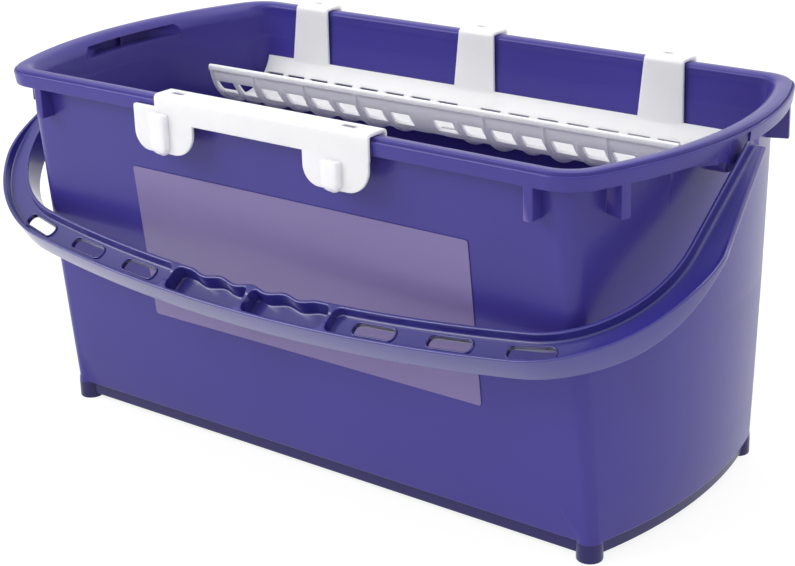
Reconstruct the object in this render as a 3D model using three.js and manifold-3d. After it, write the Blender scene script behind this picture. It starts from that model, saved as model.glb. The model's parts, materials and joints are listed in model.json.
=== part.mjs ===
// Window cleaning bucket, in millimetres with +Z up: an oblong tub with bowed ends and a rolled rim,
// a moulded channel handle on two pivot pegs, a gutter-shaped sieve that hangs inside on the back rim,
// a tool holder clipped over the front rim, and a bare label film on the front wall.
// The origin is under the middle of the whole object, on the level that the feet stand on.
import * as THREE from "three";
import { mergeVertices } from "three/addons/utils/BufferGeometryUtils.js";
import Module from "manifold-3d";

const wasm = await Module();
wasm.setup();

// Tub: the rim's outline, how far the wall's outlines stand inside it, and heights
const rim_half_length = 250;
const rim_half_width = 125.9;
const rim_corner_radius = 26.5;
const rim_bow_radius = 264.5;
const wall_end_setback = 14.4;
const wall_side_setback = 8.7;
const wall_corner_setback = 12.5;
const wall_bow_setback = 5.5;
const wall_end_draft = 8.2;
const wall_side_draft = 23.6;
const wall_corner_draft = 6;
const wall_bow_growth = 67;
const tub_height = 242.2;
const wall_foot_height = 12.5;
const underside_height = 4.8;
const floor_thickness = 3;
const floor_fillet = 7;
const wall_thickness = 3.2;
const mouth_wall_thickness = 2.4;
const wall_step_depth = 24.3;
const wall_step_rise = 0.8;
const base_band_inset = 3;
// How much of an inset a corner radius gives up, so that the flange is a little wider round a corner
const corner_follow_share = 0.5;

// Rim section: a domed bead, a groove outside it, and a skirt that hangs down from the flange
const lip_width = 12.3;
const flange_thickness = 3;
const skirt_height = 10.9;
const skirt_thickness = 2.2;
const skirt_draft = 0.3;
const bead_flat_inner_inset = 8.8;
const bead_flat_outer_inset = 5;
const bead_edge_drop = 1.8;
const bead_shoulder_inset = 2.8;
const bead_shoulder_drop = 0.8;
const groove_inset = 2.1;
const groove_drop = 2.5;
const ridge_inset = 1;
const ridge_drop = 2;
const skirt_shoulder_drop = 2.9;
const mouth_flare_drop = 6;
const lip_round_drop = 0.45;

// Feet and stacking ribs
const foot_radius = 8;
const foot_edge_round = 0.9;
const foot_column_height = 14;
const foot_cone_height = 26;
const foot_cone_radius = 4.5;
const foot_corner_inset = 6.6;
const foot_end_inset = 19.9;
const stacking_rib_thickness = 6;
const stacking_rib_drop = 30;
const stacking_rib_reach = 26;
const side_rib_setback = 57.5;
const end_rib_setback = 38.9;

// Handle pivots: a notch in the skirt before a bored housing, and the hollow above it inside the tub
const pivot_drop = 18.3;
const notch_half_width = 11;
const notch_roof_drop = 3.7;
const housing_half_width = 15;
const housing_corner_round = 4;
const housing_wall = 1.2;
const housing_root_depth = 24;
const bore_depth = 12.2;
const peg_radius = 3;
const peg_clearance = 0.35;
const peg_end_gap = 0.5;
const hollow_mouth_half_width = 50;
const hollow_back_half_width = 21;
const hollow_floor_drop = 12.6;
const hollow_roof_drop = 4.7;
const hollow_wall = 2.4;
const hollow_rib_thickness = 2;
const hollow_rib_depth = 3;

// Handle: a bail whose section is a channel, lying in its own plane through the pivots
const handle_fold_angle = 34.4;
const handle_front_reach = 54.3;
const handle_end_reach = 25.5;
const handle_outer_corner = 100;
const handle_bow_radius = 1200;
const handle_band_width = 21;
const handle_side_width = 23;
const handle_inner_corner = 75;
const handle_arm_width = 12;
const handle_arm_gap = 1.2;
const handle_depth = 16.8;
const handle_wall = 2.3;
const handle_floor_depth = 6;
const handle_floor_thickness = 2.4;
const handle_tail = 10.5;
const handle_tail_round = 4;
const relief_start = 58;
const relief_end = 108;
const grip_half_length = 64;
const grip_rib_thickness = 3;
const grip_pocket_depth = 10;
const finger_pitch = 25.6;
const finger_depth = 1.5;
const slot_length = 26;
const slot_width = 8.6;
const slot_spacing = 50.5;
const slot_first_place = 94.5;
const slot_rows = 3;
const slot_rim = 1.1;
const slot_rim_height = 1;
const slot_round_share = 0.96;

// Sieve: a half-round gutter with windows and ribs, hung on three straps with hooks
const sieve_end_setback = 62.5;
const sieve_offset = -13.2;
const gutter_radius = 33.5;
const gutter_thickness = 2.2;
const gutter_lip_angle = 184;
const gutter_back_angle = 344;
const gutter_lip_height = 4.2;
const gutter_lip_thickness = 3.4;
const gutter_hang = 37.5;
const gutter_rib_end_angle = 325;
const strap_top_width = 28.4;
const strap_foot_width = 34;
const strap_thickness = 2.6;
const strap_end_setback = 41;
const strap_lap = 3;
const sieve_wall_gap = 0.5;
const half_bay_share = 0.1245;
const first_edge_share = 0.0338;
const regular_half_bays = 6;
const major_rib_height = 2.8;
const major_rib_thickness = 2.8;
const minor_rib_height = 1.2;
const minor_rib_thickness = 1.8;
const window_share = 0.711;
const window_arc = 9;
const window_row_angles = [226, 270, 314];
const drain_arch_share = 0.364;
const drain_arch_low_angle = 243;
const drain_arch_high_angle = 280;

// Hooks and the tool holder's bar, which reach over the rim
const rim_seat_gap = 0.3;
const hook_thickness = 2.4;
const hook_side_gap = 0.4;
const hook_leg_length = 14;
const hook_round = 2;
const hook_window_length = 6;
const hook_window_width = 2.6;
const hook_window_offset = -4;

// Tool holder: a bar with two rounded tongues, each with a half-round rib
const bar_left_end = -80.4;
const bar_right_end = 86.6;
const bar_plate_thickness = 2.4;
const bar_front_drop = 13.6;
const bar_back_drop = 8;
const bar_back_gap = 0.4;
const bar_window_length = 10;
const bar_window_width = 4;
const bar_round_share = 0.8;
const bar_window_places = [-67.6, 66.6];
const tongue_places = [-74.2, 61.8];
const tongue_width = 48.9;
const tongue_top_drop = 5.4;
const tongue_bottom_drop = 34;
const tongue_corner_radius = 17;
const tongue_rib_offset = -1.5;
const tongue_rib_radius = 6.4;
const tongue_rib_height = 4.6;
const tongue_rib_top_drop = 12.4;
const tongue_rib_overhang = 1.4;

// Label: a thin bare film on the flat of the front wall
const label_length = 262.8;
const label_height = 104.6;
const label_offset = 11.1;
const label_foot_height = 85;
const label_thickness = 0.35;
const label_gap = 0.25;
const label_corner_radius = 2;

// One overrun serves every cut and every root that is buried in its neighbour
const overrun = 1;

// Facet counts
const bow_steps = 6;
const corner_steps = 6;
const round_steps = 28;
const finger_steps = 6;
const gutter_step_angle = 8;
const fillet_shares = [0, 0.15, 0.45, 1];

const radians = THREE.MathUtils.degToRad;
const fold = radians(handle_fold_angle);

const rim = outline(rim_half_length, rim_half_width, rim_corner_radius, rim_bow_radius);
const wall_top = outline(
  rim.half_length - wall_end_setback, rim.half_width - wall_side_setback,
  rim.corner - wall_corner_setback, rim.bow - wall_bow_setback);
const wall_foot = outline(
  wall_top.half_length - wall_end_draft, wall_top.half_width - wall_side_draft,
  wall_top.corner - wall_corner_draft, wall_top.bow + wall_bow_growth);
const lip_place = rim_half_width - lip_width;
const flange_underside = tub_height - flange_thickness;
const skirt_foot = tub_height - skirt_height;
const floor_level = underside_height + floor_thickness;
const step_level = tub_height - wall_step_depth;
const pivot_level = tub_height - pivot_drop;
const housing_face = rim_half_length - skirt_thickness;
const bore_radius = peg_radius + peg_clearance;
const handle_reach = rim_half_width + handle_front_reach;
const handle_half_width = rim_half_length + handle_end_reach;
const arm_inner_tip = rim_half_length + handle_arm_gap;
const sieve_half_length = rim_half_length - sieve_end_setback;
const strap_pitch = sieve_half_length - strap_end_setback;
const half_bay = sieve_half_length * half_bay_share;

// Geometry helpers

// A closed three.js geometry as a solid that can be joined and cut
function solid(geometry) {
  const bare = geometry.index ? geometry.toNonIndexed() : geometry.clone();
  bare.deleteAttribute("normal");
  bare.deleteAttribute("uv");
  const merged = mergeVertices(bare);
  return new wasm.Manifold(
    new wasm.Mesh({
      numProp: 3,
      vertProperties: merged.attributes.position.array,
      triVerts: new Uint32Array(merged.index.array),
    }),
  );
}

// A solid as a named mesh with its own plastic
function part(name, body, colour, roughness) {
  const mesh = body.getMesh();
  const geometry = new THREE.BufferGeometry();
  const position = new THREE.BufferAttribute(new Float32Array(mesh.vertProperties), mesh.numProp);
  geometry.setAttribute("position", position);
  geometry.setIndex(new THREE.BufferAttribute(new Uint32Array(mesh.triVerts), 1));
  geometry.computeVertexNormals();
  const material = new THREE.MeshStandardMaterial({ color: colour, roughness, metalness: 0 });
  const made = new THREE.Mesh(geometry, material);
  made.name = name;
  return made;
}

function joined(bodies) {
  return bodies.reduce((all, body) => all.add(body));
}

function placed(geometry, x, y, z) {
  return solid(geometry.translate(x, y, z));
}

// A box between two corners
function block(low, high) {
  const size = high.map((value, axis) => value - low[axis]);
  const middle = high.map((value, axis) => (value + low[axis]) / 2);
  return placed(new THREE.BoxGeometry(...size), ...middle);
}

// A round bar along X between two places
function bar_along_x(radius, from_x, to_x, y, z) {
  const geometry = new THREE.CylinderGeometry(radius, radius, Math.abs(to_x - from_x), round_steps);
  return placed(geometry.rotateZ(Math.PI / 2), (from_x + to_x) / 2, y, z);
}

// A flat outline pushed up along Z
function prism(points, from_z, to_z) {
  const shape = new THREE.Shape(points.map(([x, y]) => new THREE.Vector2(x, y)));
  const geometry = new THREE.ExtrudeGeometry(shape, { depth: to_z - from_z, bevelEnabled: false });
  return placed(geometry, 0, 0, from_z);
}

// An outline in the YZ plane pushed along X: the prism's X, Y and Z become Y, Z and X
function prism_along_x(points, from_x, to_x) {
  const shape = new THREE.Shape(points.map(([y, z]) => new THREE.Vector2(y, z)));
  const geometry = new THREE.ExtrudeGeometry(shape, { depth: to_x - from_x, bevelEnabled: false });
  const turn = new THREE.Matrix4().makeBasis(
    new THREE.Vector3(0, 1, 0), new THREE.Vector3(0, 0, 1), new THREE.Vector3(1, 0, 0));
  return placed(geometry.applyMatrix4(turn), from_x, 0, 0);
}

// An outline in the XZ plane pushed along Y: the prism's X, Y and Z become X, Z and -Y
function prism_along_y(points, from_y, to_y) {
  const shape = new THREE.Shape(points.map(([x, z]) => new THREE.Vector2(x, z)));
  const geometry = new THREE.ExtrudeGeometry(shape, { depth: to_y - from_y, bevelEnabled: false });
  return placed(geometry.rotateX(Math.PI / 2), 0, to_y, 0);
}

// Points on an arc about a centre, both ends included
function arc(centre_a, centre_b, radius, from_angle, to_angle, steps) {
  return Array.from({ length: steps + 1 }, (_, i) => {
    const angle = from_angle + ((to_angle - from_angle) * i) / steps;
    return [centre_a + radius * Math.cos(angle), centre_b + radius * Math.sin(angle)];
  });
}

// A rectangle with rounded corners, listed by its low and high sides; radii go round from low, low
function rounded_rectangle(low_a, low_b, high_a, high_b, radii) {
  const corners = [
    [low_a, low_b, 1, 1], [high_a, low_b, -1, 1], [high_a, high_b, -1, -1], [low_a, high_b, 1, -1],
  ];
  return corners.flatMap(([a, b, in_a, in_b], i) => {
    const radius = radii[i];
    if (radius === 0) return [[a, b]];
    const start = Math.PI + (i * Math.PI) / 2;
    return arc(a + in_a * radius, b + in_b * radius, radius, start, start + Math.PI / 2, corner_steps);
  });
}

// Outlines

// The sizes of an oblong with bowed ends: half length to the tip of the bow, half width, and radii
function outline(half_length, half_width, corner, bow) {
  return { half_length, half_width, corner, bow };
}

function inset(o, amount) {
  return outline(
    o.half_length - amount, o.half_width - amount,
    o.corner - amount * corner_follow_share, o.bow - amount);
}

// The outline part of the way from one outline to another
function between(a, b, share) {
  const mix = THREE.MathUtils.lerp;
  return outline(
    mix(a.half_length, b.half_length, share), mix(a.half_width, b.half_width, share),
    mix(a.corner, b.corner, share), mix(a.bow, b.bow, share));
}

// A quarter of a bowed oblong as [along, across] points, from the tip of the bow to the straight
// side: a bow arc, then a corner arc that touches the bow from inside and the side
function bowed_quarter(reach, half, corner, bow) {
  const bow_centre = reach - bow;
  const corner_across = half - corner;
  const corner_along = bow_centre + Math.sqrt((bow - corner) ** 2 - corner_across ** 2);
  const meet = Math.asin(corner_across / (bow - corner));
  const bow_arc = arc(bow_centre, 0, bow, 0, meet, bow_steps);
  const corner_arc = arc(corner_along, corner_across, corner, meet, Math.PI / 2, corner_steps);
  return [...bow_arc, ...corner_arc.slice(1)];
}

// The whole outline, counterclockwise from the tip of the right-hand bow
function ring(o) {
  const quarter = bowed_quarter(o.half_length, o.half_width, o.corner, o.bow);
  const back_left = quarter.map(([x, y]) => [-x, y]).reverse();
  const front_left = quarter.slice(1).map(([x, y]) => [-x, -y]);
  const front_right = quarter.slice(1).map(([x, y]) => [x, -y]).reverse();
  return [...quarter, ...back_left, ...front_left, ...front_right];
}

// A solid lofted through outlines at rising or turning levels, closed by a fan at each end
function loft(stations) {
  const rings = stations.map(([o, z]) => ring(o).map(([x, y]) => [x, y, z]));
  const count = rings[0].length;
  const faces = [];
  const fan = (points, z, flip) => {
    points.forEach((point, i) => {
      const next = points[(i + 1) % count];
      faces.push(...(flip ? [next, point] : [point, next]), [0, 0, z]);
    });
  };
  fan(rings[0], stations[0][1], true);
  fan(rings[rings.length - 1], stations[stations.length - 1][1], false);
  for (let r = 0; r + 1 < rings.length; r++) {
    for (let i = 0; i < count; i++) {
      const j = (i + 1) % count;
      const [a, b, c, d] = [rings[r][i], rings[r][j], rings[r + 1][j], rings[r + 1][i]];
      faces.push(a, b, c, a, c, d);
    }
  }
  const geometry = new THREE.BufferGeometry();
  geometry.setAttribute("position", new THREE.Float32BufferAttribute(faces.flat(), 3));
  return solid(geometry);
}

// The wall's outer outline at a level, from the foot to the flange
function wall_at(level) {
  const share = (level - wall_foot_height) / (flange_underside - wall_foot_height);
  return between(wall_foot, wall_top, share);
}

// How far the straight front or back wall's inner face stands from the middle at a level
function inner_wall_place(level) {
  const thickness = level > step_level ? mouth_wall_thickness : wall_thickness;
  return wall_at(level).half_width - thickness;
}

// Tub

function tub_outside() {
  const band = inset(wall_foot, base_band_inset);
  return loft([
    [band, underside_height],
    [band, wall_foot_height],
    [wall_foot, wall_foot_height],
    [wall_top, flange_underside],
    [inset(rim, skirt_thickness + skirt_draft), flange_underside],
    [inset(rim, skirt_thickness), skirt_foot],
    [rim, skirt_foot],
    [inset(rim, skirt_draft), tub_height - skirt_shoulder_drop],
    [inset(rim, ridge_inset), tub_height - ridge_drop],
    [inset(rim, groove_inset), tub_height - groove_drop],
    [inset(rim, bead_shoulder_inset), tub_height - bead_shoulder_drop],
    [inset(rim, bead_flat_outer_inset), tub_height],
  ]);
}

function tub_inside() {
  const fillet = (share) => floor_fillet * (1 - Math.sqrt(1 - (1 - share) ** 2));
  const low = fillet_shares.map((share) => {
    const level = floor_level + floor_fillet * share;
    return [inset(wall_at(level), wall_thickness + fillet(share)), level];
  });
  const flare_level = tub_height - mouth_flare_drop;
  const bead_middle = (lip_width + bead_flat_inner_inset) / 2;
  return loft([
    ...low,
    [inset(wall_at(step_level), wall_thickness), step_level],
    [inset(wall_at(step_level), mouth_wall_thickness), step_level + wall_step_rise],
    [inset(wall_at(flare_level), mouth_wall_thickness), flare_level],
    [inset(rim, lip_width), tub_height - bead_edge_drop],
    [inset(rim, bead_middle), tub_height - lip_round_drop],
    [inset(rim, bead_flat_inner_inset), tub_height],
    [inset(rim, bead_flat_inner_inset), tub_height + overrun],
  ]);
}

// One foot at each corner: a column under the base that runs up into the corner as a cone
function feet() {
  const profile = [
    [0, 0],
    [foot_radius - foot_edge_round, 0],
    [foot_radius, foot_edge_round],
    [foot_radius, foot_column_height],
    [foot_cone_radius, foot_cone_height],
    [0, foot_cone_height],
  ].map(([r, z]) => new THREE.Vector2(r, z));
  const foot_x = wall_foot.half_length - foot_end_inset;
  const foot_y = wall_foot.half_width - foot_corner_inset;
  return [-1, 1].flatMap((side) =>
    [-1, 1].map((end) => {
      const lathe = new THREE.LatheGeometry(profile, round_steps).rotateX(Math.PI / 2);
      return placed(lathe, end * foot_x, side * foot_y, 0);
    }),
  );
}

// Two stacking ribs at each corner, which stand between the wall and the skirt
function stacking_ribs() {
  const low = tub_height - stacking_rib_drop;
  const high = flange_underside + flange_thickness / 2;
  const half = stacking_rib_thickness / 2;
  const side_outer = rim_half_width - skirt_thickness + overrun / 2;
  const end_outer = rim_bow_radius - skirt_thickness + overrun / 2;
  const bow_centre = rim_half_length - rim_bow_radius;
  const end_angle = Math.asin((rim_half_width - end_rib_setback) / rim_bow_radius);
  return [-1, 1].flatMap((end) =>
    [-1, 1].flatMap((side) => {
      const x = end * (rim_half_length - side_rib_setback);
      const side_rib = new THREE.BoxGeometry(2 * half, stacking_rib_reach, high - low);
      const end_rib = new THREE.BoxGeometry(stacking_rib_reach, 2 * half, high - low);
      const middle = (low + high) / 2;
      const radial = end_outer - stacking_rib_reach / 2;
      end_rib.translate(radial, 0, middle).rotateZ(side * end_angle).translate(bow_centre, 0, 0);
      if (end < 0) end_rib.rotateZ(Math.PI);
      return [
        placed(side_rib, x, side * (side_outer - stacking_rib_reach / 2), middle),
        solid(end_rib),
      ];
    }),
  );
}

// The outline of the hollow in plan at one end, grown by a wall: it flares towards the tub
function hollow_plan(end, grow) {
  const back = housing_face - hollow_wall + grow;
  const mouth = rim_half_length - housing_root_depth;
  const back_half = hollow_back_half_width + grow;
  const mouth_half = hollow_mouth_half_width + grow;
  const plan = [[mouth, -mouth_half], [back, -back_half], [back, back_half], [mouth, mouth_half]];
  return end < 0 ? plan.map(([x, y]) => [-x, y]).reverse() : plan;
}

// The hollow's casing between wall and skirt, and below it the housing of the handle's pivot
function pivot_housings() {
  const casing_low = tub_height - hollow_floor_drop - hollow_wall;
  const casing_high = flange_underside + flange_thickness / 2;
  const low = pivot_level - bore_radius - housing_wall;
  const section = rounded_rectangle(
    -housing_half_width, low, housing_half_width, casing_high,
    [housing_corner_round, housing_corner_round, 0, 0]);
  return [-1, 1].flatMap((end) => {
    const edges = [end * (housing_face - housing_root_depth), end * housing_face].sort((a, b) => a - b);
    return [
      prism(hollow_plan(end, hollow_wall), casing_low, casing_high),
      prism_along_x(section, edges[0], edges[1]),
    ];
  });
}

// Each arm's end reaches up into a notch in the skirt, and its peg goes into the bore behind it
function pivot_notches() {
  return [-1, 1].map((end) => {
    const edges = [end * housing_face, end * (rim_half_length + overrun)].sort((a, b) => a - b);
    return block(
      [edges[0], -notch_half_width, skirt_foot - overrun],
      [edges[1], notch_half_width, tub_height - notch_roof_drop]);
  });
}

function pivot_bores() {
  return [-1, 1].map((end) =>
    bar_along_x(
      bore_radius, end * (housing_face - bore_depth), end * (housing_face + overrun), 0, pivot_level));
}

// The hollow that opens into the tub above each bore, with a rib down its back
function pivot_hollows() {
  const back = housing_face - hollow_wall;
  const low = tub_height - hollow_floor_drop;
  const high = tub_height - hollow_roof_drop;
  const half = hollow_rib_thickness / 2;
  return [-1, 1].map((end) => {
    const edges = [end * (back - hollow_rib_depth), end * (back + overrun)].sort((a, b) => a - b);
    const rib = block([edges[0], -half, low - overrun], [edges[1], half, high + overrun]);
    return prism(hollow_plan(end, 0), low, high).subtract(rib);
  });
}

function bucket_tub() {
  const outside = joined([tub_outside(), ...feet(), ...stacking_ribs(), ...pivot_housings()]);
  const hollows = [...pivot_notches(), ...pivot_bores(), ...pivot_hollows()];
  return outside.subtract(joined([tub_inside(), ...hollows]));
}

// Handle, in its own plane: X across the bucket, V away from the pivots, N up out of the plane.
// The tools below take [x, -v] points and N levels.

// The inner edge of the grip waves between the fingers
function finger_wave(x) {
  const reach = finger_pitch * 2;
  return Math.abs(x) > reach ? 0 : finger_depth * (1 - Math.cos((2 * Math.PI * x) / finger_pitch));
}

// Half of the outer edge from the middle of the grip to an arm's end, drawn in by a wall
function outer_half(wall, end_v) {
  const bend = bowed_quarter(
    handle_reach - wall, handle_half_width - wall, handle_outer_corner - wall, handle_bow_radius - wall);
  const [bend_v, bend_x] = bend[bend.length - 1];
  const tip_x = arm_inner_tip + handle_arm_width - wall;
  const share = (bend_v - end_v) / (bend_v + handle_tail);
  return [...bend.map(([v, x]) => [x, v]), [bend_x + (tip_x - bend_x) * share, end_v]];
}

// Half of the inner edge, moved out by a wall, with the finger waves in the grip
function inner_half(wall, end_v) {
  const reach = handle_reach - handle_band_width + wall;
  const half = handle_half_width - handle_side_width + wall;
  const bow = handle_bow_radius - handle_band_width + wall;
  const bend = bowed_quarter(reach, half, handle_inner_corner + wall, bow);
  const [bend_v, bend_x] = bend[bend.length - 1];
  const tip_x = arm_inner_tip + wall;
  const share = (bend_v - end_v) / (bend_v + handle_tail);
  const wave_steps = 2 * finger_steps;
  const waves = Array.from({ length: wave_steps + 1 }, (_, i) => {
    const x = (i * finger_pitch) / finger_steps;
    return [x, reach - bow + Math.sqrt(bow ** 2 - x ** 2) + finger_wave(x)];
  });
  const rest = bend.map(([v, x]) => [x, v]).filter(([x]) => x > finger_pitch * 2 + handle_wall);
  return [...waves, ...rest, [bend_x + (tip_x - bend_x) * share, end_v]];
}

// The band between the outer and the inner edge, as one closed outline
function band(wall, end_v) {
  const mirror = (points) => points.slice(1).map(([x, v]) => [-x, v]).reverse();
  const outer = outer_half(wall, end_v);
  const inner = inner_half(wall, end_v);
  const outside = [...mirror(outer), ...outer];
  const inside = [...mirror(inner), ...inner].reverse();
  return [...outside, ...inside].map(([x, v]) => [x, -v]);
}

// A slab across the whole handle between two places along X
function across_slab(from_x, to_x, low_n, high_n) {
  return block([from_x, -handle_reach - overrun, low_n], [to_x, handle_tail + overrun, high_n]);
}

// Rounded slots through the floor, which follow the middle of the band
function slot_places() {
  const bow = handle_bow_radius - handle_band_width / 2;
  const middle = (x) => handle_reach - handle_band_width / 2 - bow + Math.sqrt(bow ** 2 - x ** 2);
  const bend = bowed_quarter(
    handle_reach - handle_band_width / 2, handle_half_width - handle_side_width / 2,
    (handle_outer_corner + handle_inner_corner) / 2, bow);
  return Array.from({ length: slot_rows }, (_, i) => {
    const x = slot_first_place + i * slot_spacing;
    const next = bend.findIndex(([, across]) => across > x);
    const [v0, x0] = bend[next - 1];
    const [v1, x1] = bend[next];
    const share = (x - x0) / (x1 - x0);
    const on_bow = next <= bow_steps;
    const slope = Math.atan2(v1 - v0, x1 - x0);
    return { x, v: on_bow ? middle(x) : v0 + (v1 - v0) * share, slope };
  });
}

function slot_tool(place, side, grow, low_n, high_n) {
  const half_length = slot_length / 2 + grow;
  const half_width = slot_width / 2 + grow;
  const points = rounded_rectangle(
    -half_length, -half_width, half_length, half_width,
    Array(4).fill(half_width * slot_round_share));
  const shape = new THREE.Shape(points.map(([x, y]) => new THREE.Vector2(x, y)));
  const geometry = new THREE.ExtrudeGeometry(shape, { depth: high_n - low_n, bevelEnabled: false });
  geometry.rotateZ(-side * place.slope);
  return placed(geometry, side * place.x, -place.v, low_n);
}

// Towards the pivots the outer flange and the hanging edge of the floor taper away, so that an arm
// ends as the inner flange with the floor standing out from it
function arm_reliefs(floor_top, floor_bottom) {
  const top = handle_depth / 2 + overrun;
  const end = handle_tail + overrun;
  const above = [[-relief_end, top], [-relief_start, floor_top], [end, floor_top], [end, top]];
  const below = above.map(([v, n]) => [v, n === top ? -top : floor_bottom]).reverse();
  const near = arm_inner_tip + handle_wall;
  const far = handle_half_width + overrun;
  return [above, below].flatMap((side_view) => [
    prism_along_x(side_view, near, far),
    prism_along_x(side_view, -far, -near),
  ]);
}

function carry_handle() {
  const top = handle_depth / 2;
  const bottom = -top;
  const floor_top = top - handle_floor_depth;
  const floor_bottom = floor_top - handle_floor_thickness;
  const pocket_floor = top - grip_pocket_depth;
  const rib = grip_rib_thickness / 2;
  const grip_end = grip_half_length + rib;
  const far = handle_half_width + overrun;

  const side_view = rounded_rectangle(
    -handle_reach - overrun, bottom, handle_tail, top, [0, handle_tail_round, handle_tail_round, 0]);
  let body = prism(band(0, -handle_tail), bottom, top);
  body = body.intersect(prism_along_x(side_view, -far, far));

  const grip = across_slab(-grip_end, grip_end, bottom - overrun, top + overrun);
  const hollow = band(handle_wall, -handle_tail - overrun);
  const channel = prism(hollow, floor_top, top + overrun).subtract(grip);
  const underside = prism(hollow, bottom - overrun, floor_bottom).subtract(grip);
  const pocket = prism(hollow, pocket_floor, top + overrun);
  const pockets = [
    pocket.intersect(across_slab(-grip_half_length + rib, -rib, pocket_floor, top + overrun)),
    pocket.intersect(across_slab(rib, grip_half_length - rib, pocket_floor, top + overrun)),
  ];
  const reliefs = arm_reliefs(floor_top, floor_bottom);
  body = body.subtract(joined([channel, underside, ...pockets, ...reliefs]));

  const sides = [-1, 1];
  const slots = slot_places().flatMap((place) =>
    sides.map((side) => ({
      rim: slot_tool(place, side, slot_rim, floor_bottom, floor_top + slot_rim_height),
      cut: slot_tool(place, side, 0, bottom - overrun, top + overrun),
    })),
  );
  body = joined([body, ...slots.map((slot) => slot.rim)]);
  body = body.subtract(joined(slots.map((slot) => slot.cut)));

  const peg_end = housing_face - bore_depth + peg_end_gap;
  const buried = arm_inner_tip + handle_wall / 2;
  const pegs = sides.map((side) => bar_along_x(peg_radius, side * peg_end, side * buried, 0, 0));
  return joined([body, ...pegs]);
}

// Sieve

// Heights and places across the bucket that the sieve takes from the tub's wall
const gutter_back_level = tub_height - gutter_hang;
const strap_back_place = inner_wall_place(gutter_back_level) - sieve_wall_gap;
const strap_lean = (lip_place - sieve_wall_gap - strap_back_place) / gutter_hang;
const gutter_middle_place =
  strap_back_place - gutter_radius * Math.cos(radians(gutter_back_angle));
const gutter_middle_level = gutter_back_level - gutter_radius * Math.sin(radians(gutter_back_angle));
const hook_top = tub_height + rim_seat_gap + hook_thickness;

function gutter_band(inner, outer, from_angle, to_angle) {
  const steps = Math.ceil((to_angle - from_angle) / gutter_step_angle);
  const out = arc(
    gutter_middle_place, gutter_middle_level, outer, radians(from_angle), radians(to_angle), steps);
  const back = arc(
    gutter_middle_place, gutter_middle_level, inner, radians(to_angle), radians(from_angle), steps);
  return [...out, ...back];
}

// A rib round the outside of the gutter at a place along its length
function gutter_rib(place, height, thickness) {
  const points = gutter_band(
    gutter_radius - gutter_thickness / 2, gutter_radius + height, gutter_lip_angle, gutter_rib_end_angle);
  return prism_along_x(points, place - thickness / 2, place + thickness / 2);
}

// Places of the half bays' edges from the middle outwards: regular ones, then two up to the end.
// Major and minor ribs take turns on them, and a window lies between each two.
function half_bay_edges() {
  const first = sieve_half_length * first_edge_share;
  const regular = Array.from({ length: regular_half_bays + 1 }, (_, i) => first + i * half_bay);
  const last = regular[regular_half_bays];
  return [...regular, (last + sieve_half_length) / 2, sieve_half_length];
}

function both_ways(places) {
  return places.flatMap((place) => [-place, place]);
}

function major_rib_places() {
  const edges = half_bay_edges().filter((_, i) => i > 0 && i % 2 === 0);
  const end = edges.pop() - major_rib_thickness / 2;
  return both_ways([...edges, end]);
}

function minor_rib_places() {
  return both_ways(half_bay_edges().filter((_, i) => i % 2 === 1));
}

function window_places() {
  const edges = half_bay_edges();
  return both_ways(edges.slice(1).map((edge, i) => (edge + edges[i]) / 2));
}

function gutter() {
  const shell = prism_along_x(
    gutter_band(gutter_radius - gutter_thickness, gutter_radius, gutter_lip_angle, gutter_back_angle),
    -sieve_half_length, sieve_half_length);
  const lip_place = gutter_middle_place + gutter_radius * Math.cos(radians(gutter_lip_angle));
  const lip_level = gutter_middle_level + gutter_radius * Math.sin(radians(gutter_lip_angle));
  const lip = rounded_rectangle(
    lip_place - (gutter_lip_thickness - gutter_thickness), lip_level - gutter_lip_height / 2,
    lip_place + gutter_thickness, lip_level + gutter_lip_height / 2,
    [0, 0, gutter_thickness / 2, gutter_thickness / 2]);
  const ribs = [
    ...major_rib_places().map((place) => gutter_rib(place, major_rib_height, major_rib_thickness)),
    ...minor_rib_places().map((place) => gutter_rib(place, minor_rib_height, minor_rib_thickness)),
  ];
  return joined([shell, prism_along_x(lip, -sieve_half_length, sieve_half_length), ...ribs]);
}

function gutter_windows() {
  const half_angle = THREE.MathUtils.radToDeg(window_arc / 2 / gutter_radius);
  const inner = gutter_radius - gutter_thickness - overrun;
  const outer = gutter_radius + major_rib_height + overrun;
  const half_length = (half_bay * window_share) / 2;
  const arch_half = half_bay * drain_arch_share;
  const windows = window_row_angles.flatMap((angle) => {
    const points = gutter_band(inner, outer, angle - half_angle, angle + half_angle);
    return window_places().map((place) =>
      prism_along_x(points, place - half_length, place + half_length));
  });
  const arch = prism_along_x(
    gutter_band(inner, outer, drain_arch_low_angle, drain_arch_high_angle), -arch_half, arch_half);
  return joined([...windows, arch]);
}

// A strap that leans with the wall and widens towards the gutter
function strap(place) {
  const top_half = strap_top_width / 2;
  const foot_half = strap_foot_width / 2;
  const foot_level = gutter_back_level - strap_lap;
  const face = prism_along_y(
    [
      [place - foot_half, foot_level],
      [place + foot_half, foot_level],
      [place + top_half, hook_top],
      [place - top_half, hook_top],
    ],
    0, rim_half_width);
  const back = (level) => strap_back_place + strap_lean * (level - gutter_back_level);
  const side_view = [
    [back(foot_level) - strap_thickness, foot_level],
    [back(foot_level), foot_level],
    [back(tub_height), tub_height + rim_seat_gap + hook_thickness / 2],
    [back(tub_height) - strap_thickness, tub_height + rim_seat_gap + hook_thickness / 2],
  ];
  return face.intersect(
    prism_along_x(side_view, place - strap_foot_width, place + strap_foot_width));
}

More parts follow.
